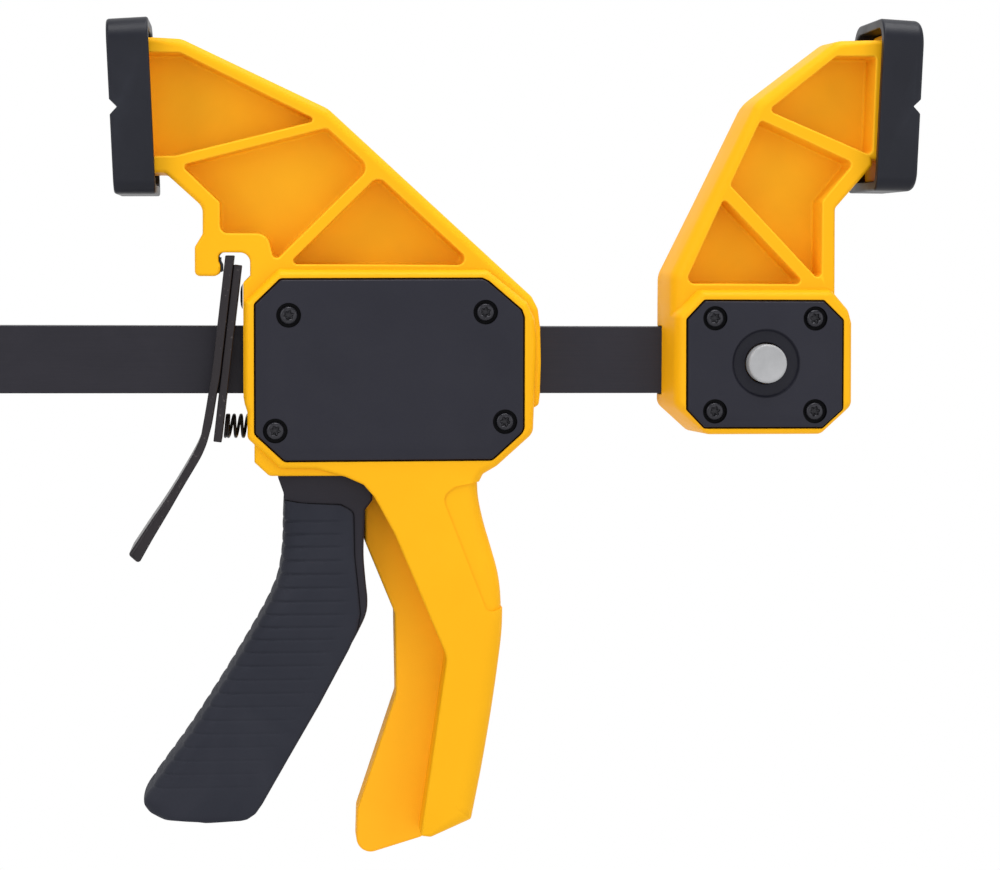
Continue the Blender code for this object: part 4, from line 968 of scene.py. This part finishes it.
done(crowned_plate("jaw_cover_front", jaw_cover, -1, JAW_SCREWS, True), "bar_and_jaw", ["jaw_front_cover"], None, 40)
done(crowned_plate("jaw_cover_rear", jaw_cover, 1, JAW_SCREWS), "bar_and_jaw", ["jaw_rear_cover"], None, 40)

cap = turned("release_button_cap", [(0.5, -22.62), (2.0, -22.62), (3.6, -22.66), (4.7, -22.72), (5.05, -22.78), (5.35, -22.8),
                                    (5.6, -22.74), (5.82, -22.58), (5.95, -22.34), (6.0, -22.0), (6.0, -13.2), (5.8, -12.9), (0.5, -12.9)],
             BUTTON_X, BUTTON_Z, 96)
cut(cap, turned("socket", [(2.5, -10), (2.5, -17.4)], BUTTON_X, BUTTON_Z, 24))
done(cap, "button", ["jaw_release_button"], BUTTON, 30, False)
plunger_spring = done(coil("button_return_spring", (BUTTON_X, 8.2, BUTTON_Z), "y", 3.2, 0.45, SEAT_HALF - 0.3 - 8.2, 5.5, 24, 10),
                      "bar_and_jaw", ["button_spring"], BRIGHT, 60, False)
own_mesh(plunger_spring)


# ----------------------------------------------------------------------- pads
def pad(name, side, top, low, groove_at, top_r, low_r):
    """Soft cap round the arm's end flange: rounded shoulders, a thick face with a V-groove."""
    r_top, r_low, e = 7.5, 4.5, 0.8
    rings = []

    def ring(s, inset, t_top=top, t_low=low):
        rings.append(pad_ring(side, s, PAD_HALF, t_top, t_low, r_top, r_low, inset, math.radians(5)))

    # contact face: the ends roll over further than the sides
    for a in quarter(8):
        s = top_r * (1 - math.sin(math.pi / 2 - a))
        cut_top = top_r * (1 - math.cos(math.pi / 2 - a))
        q = low_r * (1 - math.sqrt(max(0.0, 1 - (1 - min(1.0, s / low_r)) ** 2)))
        side_in = e * (1 - math.sqrt(max(0.0, 1 - (1 - min(1.0, s / e)) ** 2)))
        ring(s, side_in, top - max(0.0, cut_top - side_in), low + max(0.0, q - side_in))
    ring(PAD_T - 0.7, 0.0)
    for a in quarter(4)[1:]:
        ring(PAD_T - 0.7 * (1 - math.sin(a)), 0.7 * (1 - math.cos(a)))
    obj = tube(name, rings)

    def p(s, t, r=0.0):
        return (*pad_point(side, s, t), r)
    groove = outline([p(-3.0, groove_at + 5.4), p(-0.2, groove_at + 2.55, 0.4), p(2.35, groove_at, 0.25),
                      p(-0.2, groove_at - 2.55, 0.4), p(-3.0, groove_at - 5.4)], 0.0, math.radians(10))
    cut(obj, prism("groove", groove, -PAD_HALF - 2, PAD_HALF + 2))
    args = (PAD_HALF - RIM_SIDE, top - RIM_TOP, low + RIM_LOW, 5.0, 2.0)
    cut(obj, tube("socket", [pad_ring(side, PAD_SKIN, *args, 0.8), pad_ring(side, PAD_SKIN + 0.25, *args, 0.25),
                             pad_ring(side, PAD_SKIN + 0.8, *args), pad_ring(side, PAD_T - 0.6, *args),
                             pad_ring(side, PAD_T - 0.2, *args, -0.15), pad_ring(side, PAD_T, *args, -0.5),
                             pad_ring(side, PAD_T + 2.0, *args, -0.5)]))
    return tidy(obj)


def flared_pad(obj, side, top_flare, low_flare, lean_by=0.0, off=0.0, thin=0.0):
    """The pad's ends splay a little towards the arm; its face may lean out at the top."""
    zs = [v.co.z for v in obj.data.vertices]
    xs = [v.co.x for v in obj.data.vertices]
    low, high, left, right = min(zs), max(zs), min(xs), max(xs)
    for v in obj.data.vertices:
        up = (v.co.z - low) / (high - low)
        across = (v.co.x - left) / (right - left) if side < 0 else (right - v.co.x) / (right - left)
        v.co.z += across * (top_flare * max(0.0, (up - 0.7) / 0.3) - low_flare * max(0.0, (0.3 - up) / 0.3)) * MM
        v.co.x -= (off + lean_by * up + thin * across) * MM
    return obj


done(flared_pad(pad("left_pad", -1, *LEFT_PAD[:3], 0.9, 0.8), -1, 0.45, 0.45, 0.36, 0.12, 0.2), "head", ["trigger_side_pad"], PAD, 40)
done(flared_pad(pad("right_pad", 1, *RIGHT_PAD[:3], 1.9, 2.2), 1, 0.25, 0.45), "bar_and_jaw", ["jaw_pad"], PAD, 40)

# ------------------------------------------------- nodes that stay as they are
strip = [(32.55, 31.9, 0.3), (32.55, 30.25, 0.5), (33.1, 29.05, 0.8), (33.1, 26.95, 0.2), (33.57, 27.15, 0.25), (33.57, 29.3, 0.8),
         (33.0, 30.4, 0.5), (33.0, 31.5, 0.25)]
done(rounded_body("fulcrum_wear_strip", strip, 13.5, 0.1, k=2), "head", ["fulcrum_strip"], SPRING, 40)
for node, material in (("trigger_pivot_pin", PLATE), ("drive_plate_1", PLATE), ("drive_plate_2", PLATE), ("drive_plate_3", PLATE),
                       ("brake_stop", PAD), ("jaw_lock_plunger", BRIGHT)):
    obj = NODES[node]
    obj.data.materials.clear()
    obj.data.materials.append(material)


# --------------------------------------------------------- stage, light, camera
def plane(name, size, location, rotation=(0, 0, 0)):
    bm = bmesh.new()
    bmesh.ops.create_grid(bm, x_segments=1, y_segments=1, size=0.5)
    mesh = bpy.data.meshes.new(name)
    bm.to_mesh(mesh)
    bm.free()
    obj = bpy.data.objects.new(name, mesh)
    bpy.context.scene.collection.objects.link(obj)
    obj.scale = (size[0], size[1], 1)
    obj.location = location
    obj.rotation_euler = rotation
    return obj


def glowing(name, strength):
    m = bpy.data.materials.new(name)
    m.use_nodes = True
    nt = m.node_tree
    nt.nodes.clear()
    e = nt.nodes.new("ShaderNodeEmission")
    e.inputs["Color"].default_value = (1, 1, 1, 1)
    e.inputs["Strength"].default_value = strength
    out = nt.nodes.new("ShaderNodeOutputMaterial")
    nt.links.new(e.outputs[0], out.inputs[0])
    return m


floor = plane("studio_floor", (14, 14), (0.1, 0, -0.42))
floor.data.materials.append(glowing("studio_floor_white", 1.0))
sweep = plane("studio_backdrop", (14, 10), (0.1, 3.4, 2.0), (math.radians(90), 0, 0))
sweep.data.materials.append(glowing("studio_backdrop_white", 1.0))

scene = bpy.context.scene
world = bpy.data.worlds.new("studio")
scene.world = world
world.use_nodes = True
world.node_tree.nodes["Background"].inputs["Color"].default_value = (1.0, 1.0, 1.0, 1)
world.node_tree.nodes["Background"].inputs["Strength"].default_value = 0.42


def softbox(name, location, target, size, energy, colour=(1, 1, 1)):
    data = bpy.data.lights.new(name, "AREA")
    data.shape = "RECTANGLE"
    data.size, data.size_y = size
    data.energy = energy
    data.color = colour
    obj = bpy.data.objects.new(name, data)
    scene.collection.objects.link(obj)
    obj.location = location
    obj.rotation_euler = (Vector(target) - Vector(location)).to_track_quat("-Z", "Y").to_euler()
    return obj


softbox("key_top", (0.35, -0.30, 1.55), (0.12, 0, -0.05), (1.6, 0.9), 30.0)
softbox("fill_left", (-1.2, -1.0, 0.55), (0.1, 0, -0.05), (0.9, 1.2), 8.5)
softbox("fill_right", (1.45, -1.2, 0.35), (0.15, 0, -0.05), (0.9, 1.2), 5.5)
softbox("fill_front", (0.25, -1.75, 0.15), (0.12, 0, -0.1), (1.4, 1.2), 4.6)

camera = bpy.data.cameras.new("camera")
cam = bpy.data.objects.new("camera", camera)
scene.collection.objects.link(cam)
camera.sensor_width = 36.0
camera.sensor_fit = "HORIZONTAL"
camera.lens = 2567.0 / 1000.0 * 36.0
place_from = Vector((0.044697, -0.8, -0.057264))
aim = Vector((0.119889, 0.0, -0.1138455))
forward = (aim - place_from).normalized()
right = forward.cross(Vector((0, 0, 1))).normalized()
up = right.cross(forward)
roll = math.radians(-0.26)
r2 = right * math.cos(roll) - up * math.sin(roll)
u2 = up * math.cos(roll) + right * math.sin(roll)
cam.matrix_world = Matrix(((r2.x, u2.x, -forward.x, place_from.x), (r2.y, u2.y, -forward.y, place_from.y),
                           (r2.z, u2.z, -forward.z, place_from.z), (0, 0, 0, 1)))
scene.camera = cam
scene.view_settings.view_transform = "Standard"
scene.view_settings.look = "None"
scene.view_settings.exposure = 0.0
scene.view_settings.gamma = 1.0
